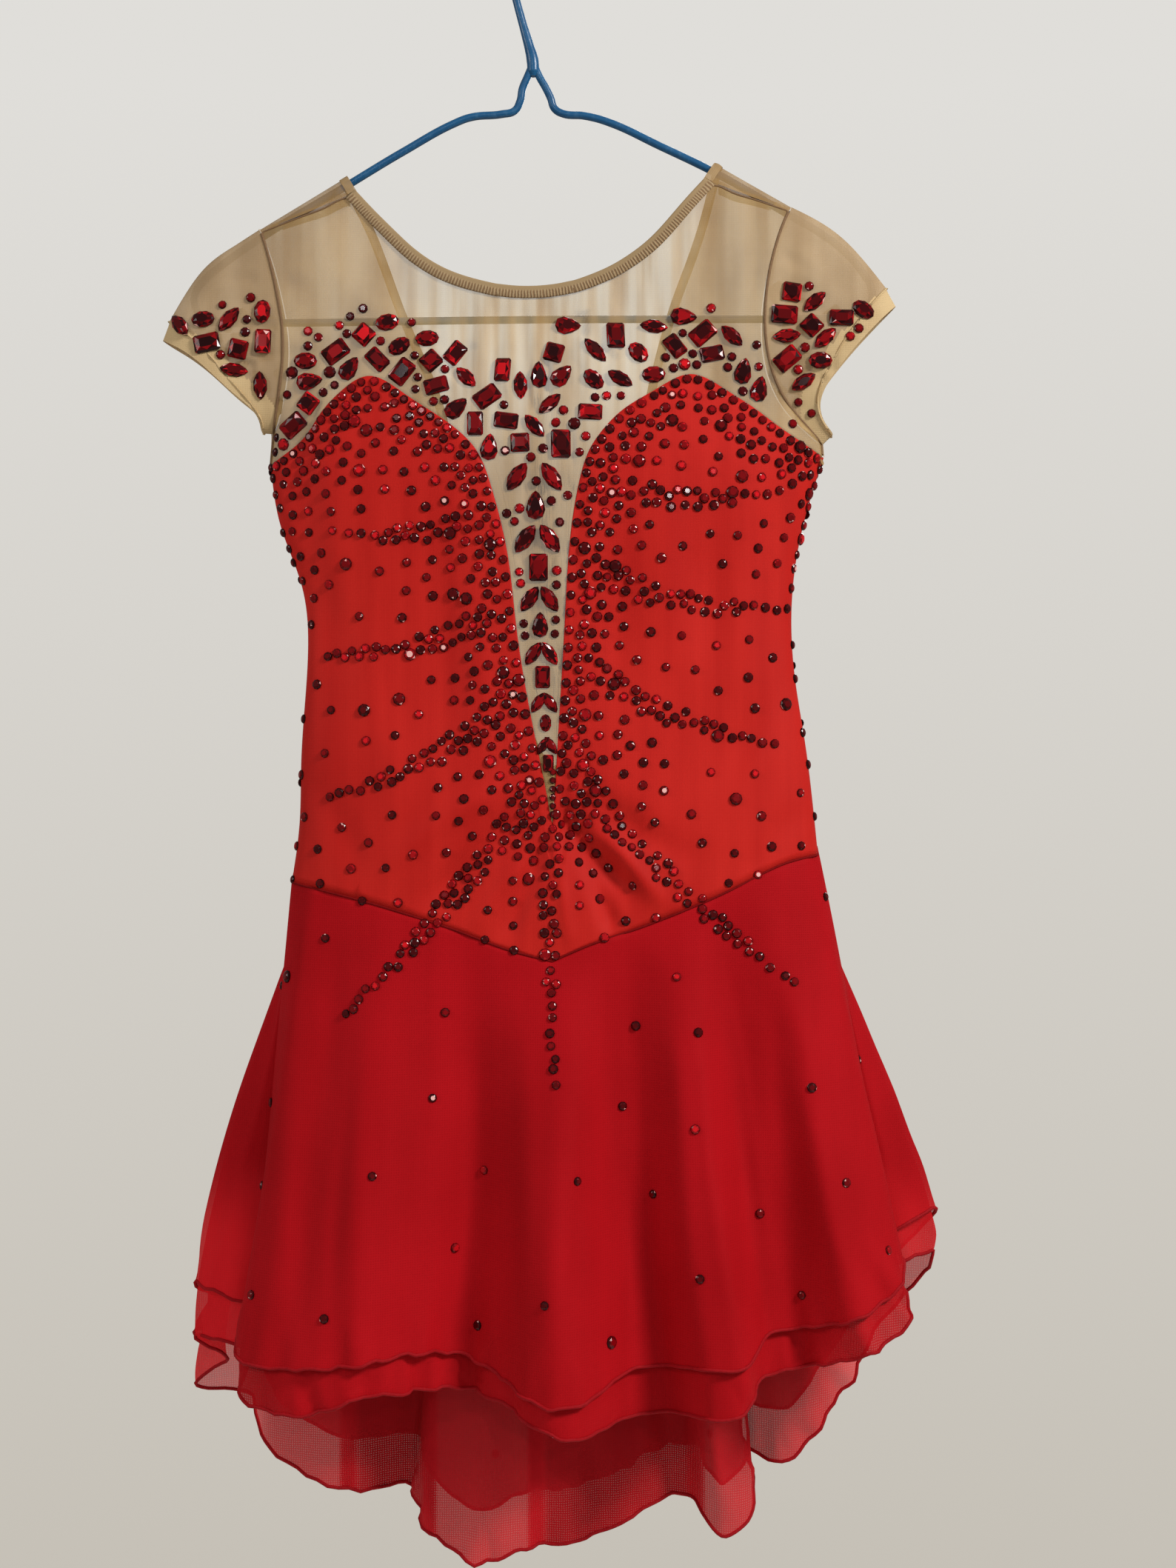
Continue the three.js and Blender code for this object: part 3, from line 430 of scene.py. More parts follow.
def smooth_sheet(cloth, corners=()):
    """A finely divided sheet that still passes through the coarse one's points."""
    limit = math.radians(60)
    bmesh.ops.join_triangles(cloth, faces=cloth.faces, angle_face_threshold=limit,
                             angle_shape_threshold=limit)
    coarse = written(cloth, bpy.data.meshes.new("coarse"))
    holder = new_object("coarse", coarse)
    divide = holder.modifiers.new("divide", "SUBSURF")
    divide.levels = divide.render_levels = 3
    divide.boundary_smooth = "PRESERVE_CORNERS"
    aim = points_of(coarse)
    sharp = coarse.attributes.new("crease_vert", "FLOAT", "POINT")
    for x, z in corners:
        away = np.hypot(aim[:, 0] - x * MM, aim[:, 2] - z * MM)
        sharp.data[int(away.argmin())].value = 1.0
    points = aim.copy()
    for _ in range(4):
        fine = holder.evaluated_get(bpy.context.evaluated_depsgraph_get()).to_mesh()
        points += aim - points_of(fine)[: len(aim)]
        set_points(coarse, points)
        holder.update_tag()
        bpy.context.view_layer.update()
    return evaluated_mesh(holder)


def keep_side(mesh, outward, down_to=-1.0):
    """Holds a panel, down to a height, on its own side of the plane between front and back."""
    points = points_of(mesh)
    high = points[:, 2] > down_to
    bound = np.minimum if outward.y < 0 else np.maximum
    points[high, 1] = bound(points[high, 1], outward.y * PARTING * MM)
    set_points(mesh, points)


def press(mesh, creases, inward, seed=1):
    """Presses soft uneven troughs along the y axis, or raises ridges where depth is below 0."""
    chance = random.Random(seed)
    points = points_of(mesh)
    x, z = points[:, 0] / MM, points[:, 2] / MM
    total = np.zeros(len(points))
    for x1, z1, x2, z2, width, depth in creases:
        length = math.hypot(x2 - x1, z2 - z1)
        ux, uz = (x2 - x1) / length, (z2 - z1) / length
        run = ((x - x1) * ux + (z - z1) * uz) / length
        wander = 0.35 * width * np.sin(run * chance.uniform(3, 6) + chance.uniform(0, 6))
        away = ((x - x1) * uz - (z - z1) * ux + wander) / width
        fade = eased(run, -0.15, 0.35) * (1 - eased(run, 0.6, 1.15))
        uneven = 1 + 0.25 * np.sin(run * chance.uniform(5, 9) + chance.uniform(0, 6))
        total += depth * fade * uneven * np.exp(-away * away)
    work = opened(mesh)
    rim = [v.co.copy() for v in work.verts if v.is_boundary]
    work.free()
    inside = eased(distance_to(points, rim), 0, 9)
    points[:, 1] += inward * total * (0.35 + 0.65 * inside) * MM
    set_points(mesh, points)


def creased_panel(node, corners, creases, outward):
    """A panel with its folds, all of it on its own side of the dress."""
    panel = smooth_sheet(one_side(node, [THICK_WALL], outward), corners)
    keep_side(panel, outward)
    press(panel, creases, -outward.y)
    keep_side(panel, outward)
    return panel


def nearest_on(line, points):
    """For each point, the number of the line's nearest point and its distance, in metres."""
    tree = kdtree.KDTree(len(line))
    for i, point in enumerate(line):
        tree.insert(point, i)
    tree.balance()
    found = [tree.find(point)[1:] for point in points]
    return [i for i, _ in found], np.array([gap for _, gap in found])


def distance_to(points, line):
    """How far points in metres lie from a line's points, in millimetres."""
    return nearest_on(line, points)[1] / MM


def gaps_from(spots, spot):
    """How far flat (x, z) spots lie from one spot."""
    return np.hypot(*(spots - np.array(spot)).T)


def edge_between(mesh, start, end, past):
    """The free edge's vertices from one (x, z) spot to another, on the way past a third."""
    work = opened(mesh)
    near = {}
    for e in work.edges:
        if e.is_boundary:
            a, b = (v.index for v in e.verts)
            near.setdefault(a, []).append(b)
            near.setdefault(b, []).append(a)
    work.free()
    spots, rim = points_of(mesh)[:, [0, 2]] / MM, sorted(near)
    first, last = (rim[int(gaps_from(spots[rim], spot).argmin())] for spot in (start, end))
    ways = []
    for step in near[first]:
        way = [first, step]
        while way[-1] != last:
            way += [v for v in near[way[-1]] if v != way[-2]]
        ways.append(way)
    return min(ways, key=lambda way: gaps_from(spots[way], past).min())


def edge_line(mesh, start, end, past):
    """The places of the free edge's vertices between two spots, past a third."""
    return points_of(mesh)[edge_between(mesh, start, end, past)]


def thread_line(mesh, way, radius):
    """A thin round cord laid along an edge."""
    points = points_of(mesh)[way[::2] + way[-1:]]
    path = [(x, y, z, 1.0) for x, y, z in points]
    return round_wire(path, radius * MM, sides=2, bent=False)


def lay_map(mesh, flat):
    """Lays a UV map over a piece from each vertex's place on the flat cloth, in metres."""
    corners = np.empty(len(mesh.loops), dtype=int)
    mesh.loops.foreach_get("vertex_index", corners)
    mesh.uv_layers.new(name="cut").data.foreach_set("uv", flat[corners].ravel())


def lay_front_map(mesh):
    """Maps a piece as it is seen from the front, which is nearly how its cloth was cut."""
    lay_map(mesh, points_of(mesh)[:, [0, 2]])


def tree_of(mesh):
    """A tree that finds where a ray meets the cloth."""
    work = opened(mesh)
    tree = bvhtree.BVHTree.FromBMesh(work)
    work.free()
    return tree


def front_hit(tree, x, z):
    """The cloth's place and facing where a ray from the front meets it, or None."""
    hit, facing, _, _ = tree.ray_cast(Vector((x * MM, -AWAY, z * MM)), BACK)
    return (np.array(hit), np.array(facing)) if hit else None


def outline_of(cut):
    """A stone's outline seen from above, one unit in half length and half width."""
    if cut == "baguette":
        return np.array([(1, 0.8), (0.84, 1), (-0.84, 1), (-1, 0.8),
                         (-1, -0.8), (-0.84, -1), (0.84, -1), (1, -0.8)])
    turn = np.linspace(0, 2 * math.pi, 9 if cut == "round" else 10, endpoint=False)
    along, across = np.cos(turn), np.sin(turn)
    if cut == "navette":
        across = across * np.abs(across) ** 0.6
    if cut == "drop":
        across = across * (1 - 0.42 * along)
    return np.stack([along, across], 1)


def cut_stone(cut):
    """Corners and facets of a flat-backed stone of one unit, and each facet's level."""
    outline = outline_of(cut)
    between = (outline + np.roll(outline, -1, axis=0)) / 2 * 0.86
    work = bmesh.new()
    for ring, height in ((outline, 0.0), (outline, 0.3), (between, 0.72), (outline * 0.5, 1.0)):
        for x, y in ring:
            work.verts.new((x, y, height))
    bmesh.ops.convex_hull(work, input=work.verts)
    bmesh.ops.dissolve_limit(work, angle_limit=math.radians(1), verts=work.verts, edges=work.edges)
    bmesh.ops.recalc_face_normals(work, faces=work.faces)
    work.verts.index_update()
    corners = np.array([v.co[:] for v in work.verts])
    facets = [[v.index for v in face.verts] for face in work.faces]
    heights = [face.calc_center_median().z for face in work.faces]
    work.free()
    return corners, facets, np.searchsorted((0.35, 0.7, 0.95), heights)


def stone_axes(facing, turn):
    """Directions along, across and out of a stone that is turned from upright on its cloth."""
    facing = facing / np.linalg.norm(facing)
    up = np.array((0, 0, 1.0)) - facing * facing[2]
    up /= np.linalg.norm(up) + 1e-9
    ahead = up * math.cos(turn) + np.cross(up, facing) * math.sin(turn)
    return ahead, np.cross(facing, ahead), facing


def set_stones(name, stones, seed):
    """Glues stones to the cloth: each is cut, spot, facing, turn, half length and half width."""
    chance = np.random.default_rng(seed)
    corners, facets, lights = [], [], []
    start = 0
    for cut, spot, facing, turn, length, width in stones:
        shape, faces, levels = CUTS[cut]
        ahead, across, facing = stone_axes(facing, turn)
        height = 0.46 * min(length, width) + 0.3
        axes = np.stack([ahead * length, across * width, facing * height]) * MM
        corners.append(shape @ axes + spot + facing * 0.1 * MM)
        facets += [[start + i for i in face] for face in faces]
        # Each facet's light value is painted reflection: lower facets darker and upper ones
        # brighter, random bright and dark facets, scaled by a random tone for each stone, and a
        # few facets at full light as painted glints.
        tone = chance.choice([0.3, 0.62, 1.1], p=[0.5, 0.33, 0.17])
        painted_sparkle = chance.random(len(faces))
        if cut == "round":
            value = np.array([0.05, 0.22, 0.5, 0.68])[levels] * tone * (0.55 + 0.8 * painted_sparkle)
        else:
            value = (0.06 + 0.76 * painted_sparkle ** 2.2) * (0.55 + 0.5 * tone) * np.where(levels, 1.0, 0.3)
        lights.append(np.where(chance.random(len(faces)) < 0.012, 1.0, np.minimum(value, 0.9)))
        start += len(shape)
    mesh = bpy.data.meshes.new(name)
    mesh.from_pydata(np.concatenate(corners).tolist(), [], facets)
    mesh.attributes.new("light", "FLOAT", "FACE").data.foreach_set("value", np.concatenate(lights))
    return add_piece(name, mesh, glass, "red_glass")


def scatter(mesh, room, lines, taken, tries, seed, size=ROUND):
    """Drops spots at random on a cloth and keeps those with room round them.

    room gives the free distance that each spot needs in millimetres, 0 where nothing goes, from
    the spots and their distances to the lines; taken holds x, y, z and radius of what is there
    already, and what is kept joins it.
    """
    chance = np.random.default_rng(seed)
    mesh.calc_loop_triangles()
    corners = np.empty(len(mesh.loop_triangles) * 3, dtype=int)
    mesh.loop_triangles.foreach_get("vertices", corners)
    corners = corners.reshape(-1, 3)
    points, normals = points_of(mesh) / MM, normals_of(mesh)
    a, b, c = (points[corners[:, k]] for k in range(3))
    areas = np.linalg.norm(np.cross(b - a, c - a), axis=1)
    pick = corners[chance.choice(len(areas), tries, p=areas / areas.sum())]
    shares = chance.dirichlet((1, 1, 1), tries)[:, :, None]
    spots, facings = (points[pick] * shares).sum(1), (normals[pick] * shares).sum(1)
    need = room(spots, *(distance_to(spots * MM, line) for line in lines))
    wanted, count, kept = np.flatnonzero(need > 0), len(taken), []
    filled = np.empty((count + len(wanted), 4))
    filled[:count] = np.reshape(taken, (-1, 4))
    for i in wanted:
        gaps = np.linalg.norm(filled[:count, :3] - spots[i], axis=1) - filled[:count, 3]
        if count == 0 or gaps.min() > need[i]:
            filled[count] = (*spots[i], size)
            taken.append(tuple(filled[count]))
            count += 1
            kept.append((spots[i] * MM, facings[i]))
    return kept


def is_free(spot, taken, gap):
    """Whether a spot in millimetres keeps a gap from the rims of all that is there."""
    return all(math.dist(spot, stone[:3]) - stone[3] > gap for stone in taken)


def rounds_at(kept, seed):
    """Round stones for scattered spots, mostly of one size with a few larger."""
    chance = random.Random(seed)
    stones = []
    for spot, facing in kept:
        radius = ROUND * (1.3 if chance.random() < 0.06 else chance.uniform(0.88, 1.04))
        stones.append(("round", spot, facing, chance.uniform(0, 6), radius, radius))
    return stones


def spray_stones(tree, above, taken, seed):
    """The sprays' stones that fall on one panel and aren't under the panel above it."""
    chance = random.Random(seed)
    kept = []
    for *ends, stones_across in SPRAYS:
        first, middle, last = np.reshape(ends, (3, 2))
        length = math.dist(first, middle) + math.dist(middle, last)
        for _ in range(int(length * TRIES_PER_MM)):
            t = chance.uniform(0, 1)
            x, z = (1 - t) ** 2 * first + 2 * t * (1 - t) * middle + t * t * last
            dx, dz = (1 - t) * (middle - first) + t * (last - middle)
            width = stones_across * (1 - t * t) + 0.25
            shift = chance.uniform(-1, 1) * width * 2.5 / math.hypot(dx, dz)
            x, z = x - dz * shift, z + dx * shift
            found = front_hit(tree, x, z)
            if found and found[1][1] < -0.2 and not (above and front_hit(above, x, z)):
                spot = found[0] / MM
                if is_free(spot, taken, ROUND - 0.2):
                    taken.append((*spot, ROUND))
                    kept.append(found)
    return kept


def edge_row(mesh, line, taken, step):
    """Round stones in a close row just inside a panel's edge, with step between their middles."""
    tree, kept = tree_of(mesh), []
    for before, point, after in zip(line[1:], line[2:-2], line[3:]):
        inward = np.cross(after - before, np.array((0, 1.0, 0)))
        inward *= ROUND * MM / (np.linalg.norm(inward) + 1e-9)
        for spot in (point + inward, point - inward):
            hit, facing, _, gap = tree.find_nearest(Vector(spot))
            off, here = (np.array(hit) - point) / MM, np.array(hit) / MM
            on_panel = np.linalg.norm(off) > 0.8 * ROUND and gap < 1.2 * MM
            if on_panel and is_free(here, taken, step - ROUND):
                taken.append((*here, ROUND))
                kept.append((np.array(hit), np.array(facing)))
    return kept


def front_room(spots, neckline, left, right):
    """Stones lie close at the neckline and thin out to the sides and down to the waist."""
    spacing = np.clip(5.5 + 0.17 * (neckline - 14), 5.5, 16.5)
    low = 1 - eased(spots[:, 2], -440, -350)
    side = np.clip(7.0 + 0.3 * (np.minimum(left, right + 6) - 6), 7.0, 17.0) + low * 12
    return np.where(neckline < 3.2, 0, np.minimum(spacing, side)) - ROUND


def back_room(spots, neckline):
    """A close edging round the open back, and single stones below it."""
    return np.where(neckline < 2.6, 0, np.where(neckline < 9, 6.6, 26.0) - ROUND)


CUTS = {cut: cut_stone(cut) for cut in ("round", "baguette", "navette", "drop", "oval")}
glass = Finish("siam_red_glass")
# The glass's colour follows each facet's painted reflection value, from near black-red through red
# to bright red, with a pale painted glint at the top.
painted_facet_light = glass.node("Attribute", {"attribute_name": "light"}, output=2)
siam = glass.mix(glass.eased(painted_facet_light, 0.0, 0.45), linear(30, 1, 5), linear(132, 6, 14))
siam = glass.mix(glass.eased(painted_facet_light, 0.42, 0.88), siam, linear(226, 24, 34))
glass.set(Base_Color=glass.mix(glass.eased(painted_facet_light, 0.93, 1.0), siam, linear(255, 196, 190)),
          Roughness=0.1, Specular_IOR_Level=0.22)

knit = Finish("red_stretch_knit")
cut = knit.place("UV")
clouds = knit.noise(cut, 9.0, 3.0)
streaks = knit.noise(knit.stretched(cut, 90, 7, 1), 1.0)
stitches = knit.bands(cut, "X", 420.0, distortion=2.0, detail=2.0)
courses = knit.bands(cut, "Y", 360.0, distortion=2.0, detail=2.0)
tone = knit.eased(clouds * 0.55 + streaks * 0.45, 0.3, 0.7)
red = knit.mix(tone, linear(196, 28, 22), linear(214, 38, 30))
knit.set(Base_Color=knit.mix((1 - stitches) * 0.10, red, linear(140, 16, 16)), Roughness=0.62,
         Specular_IOR_Level=0.12, Sheen_Weight=0.06, Sheen_Tint=(1.0, 0.35, 0.3, 1.0))
knit.bump(stitches * 0.6 + courses * 0.4, 0.00012, strength=0.4)
seam_red = two_tone("red_seam_thread", (104, 8, 10), (146, 14, 16), grain=800.0,
                    Roughness=0.8, Specular_IOR_Level=0.1)

trees, front_taken, back_taken = {}, [], []
for node, outward, tip, creases, flat, area in BODICE:
    panel = creased_panel(node, [tip, WAIST_POINT], creases, outward)
    lay_front_map(panel)
    trees[node] = tree_of(panel)
    neckline = edge_line(panel, *UNDERARMS, tip)
    sides = [edge_line(panel, underarm, hip, (x, -420))
             for underarm, hip, x in zip(UNDERARMS, HIPS, (-130, 136))]
    piece = add_piece(node.replace("bodice", "lycra_bodice"), panel, knit, "red_lycra", node)
    wall = piece.modifiers.new("wall", "SOLIDIFY")
    wall.thickness = KNIT_WALL * MM
    waist = thread_line(panel, edge_between(panel, *HIPS, WAIST_POINT), WAIST_THREAD)
    seam = add_piece(node.replace("bodice", "waist_seam"), waist, seam_red, "red_lycra")
    if outward is FRONT:
        kept = edge_row(panel, neckline, front_taken, step=5.5)
        kept += spray_stones(trees[node], None, front_taken, seed=3)
        kept += scatter(panel, front_room, [neckline, *sides], front_taken, tries=90000, seed=5)
    else:
        kept = edge_row(panel, neckline, back_taken, step=6.0)
        kept += scatter(panel, back_room, [neckline], back_taken, tries=30000, seed=6)
    stones = set_stones(f"stones_on_{node}", rounds_at(kept, seed=8), seed=9)

# ---------------------------------------------------------------- yoke
# Nude power mesh, see-through in one layer: a front with a long V, two backs that come over the
# hanger to the shoulder seam, and the soft gathers that the stretched neck edge draws in. Large
# cut stones lie in a loose belt over the bust line and go down the V in a column.

YOKE_CREASES = [
    (-76, -190, -86, -246, 7, 1.3), (-60, -204, -68, -262, 6, 1.5), (-44, -212, -50, -276, 6, 1.7),
    (-28, -216, -32, -286, 5, 1.8), (-14, -219, -16, -292, 5, 1.8), (0, -220, 0, -296, 5, 1.7),
    (13, -219, 15, -292, 5, 1.8), (27, -214, 31, -284, 5, 1.7), (42, -206, 49, -272, 6, 1.5),
    (57, -194, 67, -258, 7, 1.4), (70, -180, 84, -240, 8, 1.2), (-36, -215, -40, -268, 4, -0.9),
    (20, -216, 24, -270, 4, -0.9), (-7, -220, -8, -276, 4, -0.8), (2, -330, 2, -430, 6, -0.8),
    (-152, -205, -128, -214, 5, 0.9), (-149, -230, -130, -236, 4, 0.8),
    (-148, -252, -132, -255, 4, 0.8), (122, -206, 104, -214, 5, 0.9),
    (121, -232, 104, -236, 4, 0.8), (126, -256, 110, -256, 4, 0.7),
    (-118, -160, -108, -196, 7, 0.9), (96, -150, 88, -186, 7, 0.9),
    (-130, -262, -96, -236, 9, 1.0), (112, -262, 80, -232, 9, 1.0), (-16, -352, 14, -360, 3, 0.9),
    (14, -386, -10, -396, 3, 0.8), (-10, -424, 10, -431, 2.5, 0.8),
    (-18, -326, 10, -338, 3.5, 0.9), (-6, -300, -2, -352, 4, -0.9), (9, -400, 5, -450, 3, -0.7),
]
ARMHOLE_THREAD, SHOULDER_THREAD = 0.8, 0.5
ALLOWANCE, SHOULDER_ALLOWANCE = 5.0, 3.5  # cloth beyond the seams; the first at bust and waist
V_STOP = -488  # where the V gets too narrow for large stones
FOOT_ROW = np.arange(-478, -505, -4.6)  # heights of the small stones that end the column
# a large stone's cut, half length and half width
FANCY = [
    ("baguette", 7.2, 5.0), ("baguette", 5.2, 5.2), ("navette", 8.4, 4.2), ("drop", 7.4, 4.6),
    ("oval", 6.6, 4.7), ("baguette", 6.6, 4.4), ("navette", 7.8, 4.0),
]


def tuck_under(mesh, way, length, cover, depth):
    """Carries a cut edge on, as a seam allowance that lies depth behind the piece sewn over it."""
    work = opened(mesh)
    chain = {frozenset(pair) for pair in zip(way, way[1:])}
    edges = [e for e in work.edges if frozenset(v.index for v in e.verts) in chain]
    out = {i: Vector() for i in way}
    for e in edges:
        first, last = e.verts
        along = (last.co - first.co).normalized()
        away = (first.co + last.co) / 2 - e.link_faces[0].calc_center_median()
        away = (away - along * away.dot(along)).normalized()
        out[first.index] += away
        out[last.index] += away
    work.verts.ensure_lookup_table()
    side = -1 if sum(work.verts[i].normal.y for i in way) < 0 else 1
    homes = [work.verts[i].co.copy() for i in way]
    straight = [out[i].normalized() for i in way]
    ahead = [sum(straight[max(0, i - 4):i + 5], Vector()).normalized() for i in range(len(way))]
    for share in (0.2, 1.0):
        made = bmesh.ops.extrude_edge_only(work, edges=edges)["geom"]
        edges = [g for g in made if isinstance(g, bmesh.types.BMEdge)]
        verts = [g for g in made if isinstance(g, bmesh.types.BMVert)]
        for v, i in zip(verts, nearest_on(homes, [v.co for v in verts])[0]):
            v.co = homes[i] + ahead[i] * length * share * MM
            eye = Vector((v.co.x, side * AWAY, v.co.z))
            hit = cover.ray_cast(eye, Vector((0, -side, 0)))[0]
            if hit:
                behind = hit.y - side * depth * (0.6 + 0.4 * share) * MM
                v.co.y = min(v.co.y, behind) if side > 0 else max(v.co.y, behind)
    written(work, mesh)


def crossed_threads(net, cut, wales, rows, distortion):
    """Two sets of threads that cross: 1 on a thread, 0 in a hole."""
    up = net.bands(cut, "X", wales, distortion, 1.0)
    over = net.bands(cut, "Y", rows, distortion, 1.0)
    return 1 - (1 - up) * (1 - over)


def mesh_finish(name, tint, dark, cover, gathered=False):
    """Power mesh: a fine net of threads, a little uneven, that lets light through.

    When gathered, close pleats at the neck show as painted highlights and as thinner and thicker
    streaks, and down in the V it is darker and less clear.
    """
    net = Finish(name)
    cut = net.place("UV")
    clouds = net.noise(cut, 28.0, 3.0)
    threads = crossed_threads(net, cut, wales=340.0, rows=300.0, distortion=1.2)
    streaks = net.noise(net.stretched(cut, 80, 7, 1), 1.0)
    tone = net.mix(net.eased(clouds * 0.4 + streaks * 0.6, 0.35, 0.65), dark, tint)
    if gathered:
        across, up = net.part_of(cut, 0), net.part_of(cut, 1)
        high = net.eased(up, -0.33, -0.25)
        middle = net.eased(across * across, 0.0025, 0.009, 1.0, 0.25)
        pleats = net.eased(net.noise(net.stretched(cut, 85, 6, 1), 1.0, 2.5, 0.6), 0.34, 0.66)
        # painted highlights on the pleats in the middle below the neck
        tone = net.mix(high * pleats * middle * 0.5, tone, linear(236, 218, 172))
        # darker and less clear below the bust line, down in the V
        tone = net.mix((1 - high) * 0.65, tone, linear(166, 134, 88))
        cover = cover + (1 - high) * 0.2 + (0.5 - pleats) * high * middle * 0.28
    net.set(Base_Color=tone, Roughness=0.75, Specular_IOR_Level=0.2,
            Alpha=cover - 0.20 + threads * 0.12 + (1 - streaks) * 0.30)
    net.bump(threads, 0.00015, strength=0.5)
    return net


def lobes_of(spot, facing, turn, length, width):
    """Three circles along a large stone that stand for it when room is sought."""
    ahead = stone_axes(facing, turn)[0] * (length - 0.85 * width)
    return [(*(spot / MM + ahead * share), width) for share in (-1, 0, 1)]


def large_stones(spots, taken, gap):
    """Large cut stones, each turned so that it clears those already there."""
    stones = []
    for spot, facing in spots:
        cut, length, width = picks.choice(FANCY)
        for turn in picks.sample((0.1, 0.8, 1.5, 2.3), 4):
            turn += picks.uniform(-0.2, 0.2)
            lobes = lobes_of(spot, facing, turn, length, width)
            if all(is_free(lobe[:3], taken, lobe[3] + gap) for lobe in lobes):
                stones.append((cut, spot, facing, turn, length, width))
                taken += lobes
                break
    return stones


def lay_flat_under(mesh, stones):
    """Lays the cloth flat behind each large stone, as the glue holds it."""
    points = points_of(mesh)
    for cut, spot, facing, turn, length, width in stones:
        if cut != "round":
            ahead, across, facing = stone_axes(facing, turn)
            off = (points - spot) / MM
            proud = off @ facing
            reach = np.maximum(np.abs(off @ ahead) / (length + 0.6),
                               np.abs(off @ across) / (width + 0.6))
            share = (1 - eased(reach, 1.0, 1.5)) * (np.abs(proud) < 6)
            points -= facing * (share * np.maximum(proud, 0) * MM)[:, None]
    set_points(mesh, points)


def column_in_v(tree, sides):
    """Single and paired large stones in turn down the V, smaller as it narrows."""
    stones, z, single = [], -300.0, True
    while z > V_STOP:
        left, right = (np.interp(z * MM, side[:, 2], side[:, 0]) / MM for side in sides)
        span, middle = right - left, (left + right) / 2
        size = min(1.0, span / 34)
        places = [(middle, 0.0)]
        if not single:
            places = [(middle - span * 0.19, 0.6), (middle + span * 0.19, -0.6)]
        cut, length, width = FANCY[picks.choice((0, 3, 4))] if single else FANCY[2]
        for x, turn in places:
            found = front_hit(tree, x, z)
            if found and span > 8:
                stones.append((cut, *found, turn, length * (0.5 + 0.58 * size),
                               width * (0.42 + 0.66 * size)))
        z -= (18 if single else 15.5) * (0.45 + 0.55 * size)
        single = not single
    return stones


def large_room(spots, bust, arm):
    """Large stones lie in a belt over the bust line that is narrower outside and in the middle."""
    across = np.abs(spots[:, 0] - V_TIP[0])
    top = 36 - 10 * eased(across, 60, 130) + 22 * (1 - eased(across, 6, 42))
    inside = (bust > 6.5) & (bust < top) & (arm > 8) & (spots[:, 2] > -302) & (spots[:, 2] < -222)
    return np.where(inside, 1.0, 0)


def small_room(spots, bust, arm):
    """Small stones fill the gaps between the large ones."""
    inside = (bust > 3.9) & (bust < 38) & (arm > 5)
    return np.where(inside, 3.3 + 4.0 * eased(bust, 30, 40), 0)


nude = mesh_finish("nude_power_mesh", linear(210, 176, 122), linear(174, 138, 86), cover=0.57,
                   gathered=True)
yoke = creased_panel("front_yoke", [V_TIP], YOKE_CREASES, FRONT)
bust_line = edge_between(yoke, (-153, -308), (151, -303), V_TIP)
bust_points = points_of(yoke)[bust_line]
armholes = [edge_between(yoke, (-153, -308), (-159, -182), (-145, -240)),
            edge_between(yoke, (151, -303), (134, -170), (121, -240))]
shoulders = [edge_between(yoke, (-159, -182), (-107, -161), (-130, -172)),
             edge_between(yoke, (134, -170), (87, -154), (110, -162))]
seams = joined([thread_line(yoke, way, ARMHOLE_THREAD) for way in armholes]
               + [thread_line(yoke, way, SHOULDER_THREAD) for way in shoulders])
bust_and_arms = [bust_points, np.concatenate([points_of(yoke)[way] for way in armholes])]

picks = random.Random(31)
tip = int(np.argmin(bust_points[:, 2]))
yoke_tree = tree_of(yoke)
v_sides = [half[np.argsort(half[:, 2])] for half in (bust_points[:tip], bust_points[tip:])]
yoke_stones = column_in_v(yoke_tree, v_sides)
yoke_taken = [lobe for stone in yoke_stones for lobe in lobes_of(*stone[1:])]
for z in FOOT_ROW:
    found = front_hit(yoke_tree, V_TIP[0], z)
    if found:
        yoke_stones.append(("round", *found, z, 1.9, 1.9))
spots = scatter(yoke, large_room, bust_and_arms, [], tries=30000, seed=12, size=1.0)
yoke_stones += large_stones(spots, yoke_taken, gap=1.0)
kept = scatter(yoke, small_room, bust_and_arms, yoke_taken, tries=16000, seed=13)
yoke_stones += rounds_at([k for k in kept if picks.random() < 0.8], seed=14)
stones_on_yoke = set_stones("stones_on_front_yoke", yoke_stones, seed=15)
lay_flat_under(yoke, yoke_stones)
keep_side(yoke, FRONT)

seam_nude = two_tone("nude_seam_thread", (108, 78, 52), (146, 114, 80), grain=900.0,
                     Roughness=0.8)
yoke_seams = add_piece("yoke_seams", seams, seam_nude, "nude_mesh")

# The backs' mesh is the front's colour darkened: painted shade for the layer that lies behind the
# front one.
shaded_back_nude = mesh_finish("nude_power_mesh_back_shaded", linear(196, 160, 108), linear(176, 140, 90),
                        cover=0.56)
back_yokes = {}
for side, shoulder in zip(("left", "right"), shoulders):
    back = smooth_sheet(one_side(f"back_yoke_{side}", [THICK_WALL], BACK))
    lay_front_map(back)
    tuck_under(yoke, shoulder, SHOULDER_ALLOWANCE, tree_of(back), depth=0.9)
    back_yokes[side] = add_piece(f"back_mesh_yoke_{side}", back, shaded_back_nude, "nude_mesh",
                                 f"back_yoke_{side}")

tuck_under(yoke, bust_line, ALLOWANCE, trees["front_bodice"], depth=1.5)
lay_front_map(yoke)
front_yoke = add_piece("front_mesh_yoke", yoke, nude, "nude_mesh", "front_yoke")

# ---------------------------------------------------------------- neck edges
# Round the front scoop the cut edge of the mesh is overlocked with a brown thread over a narrow
# elastic, so that close ribs run across it. Down each side of the open back it is turned once.

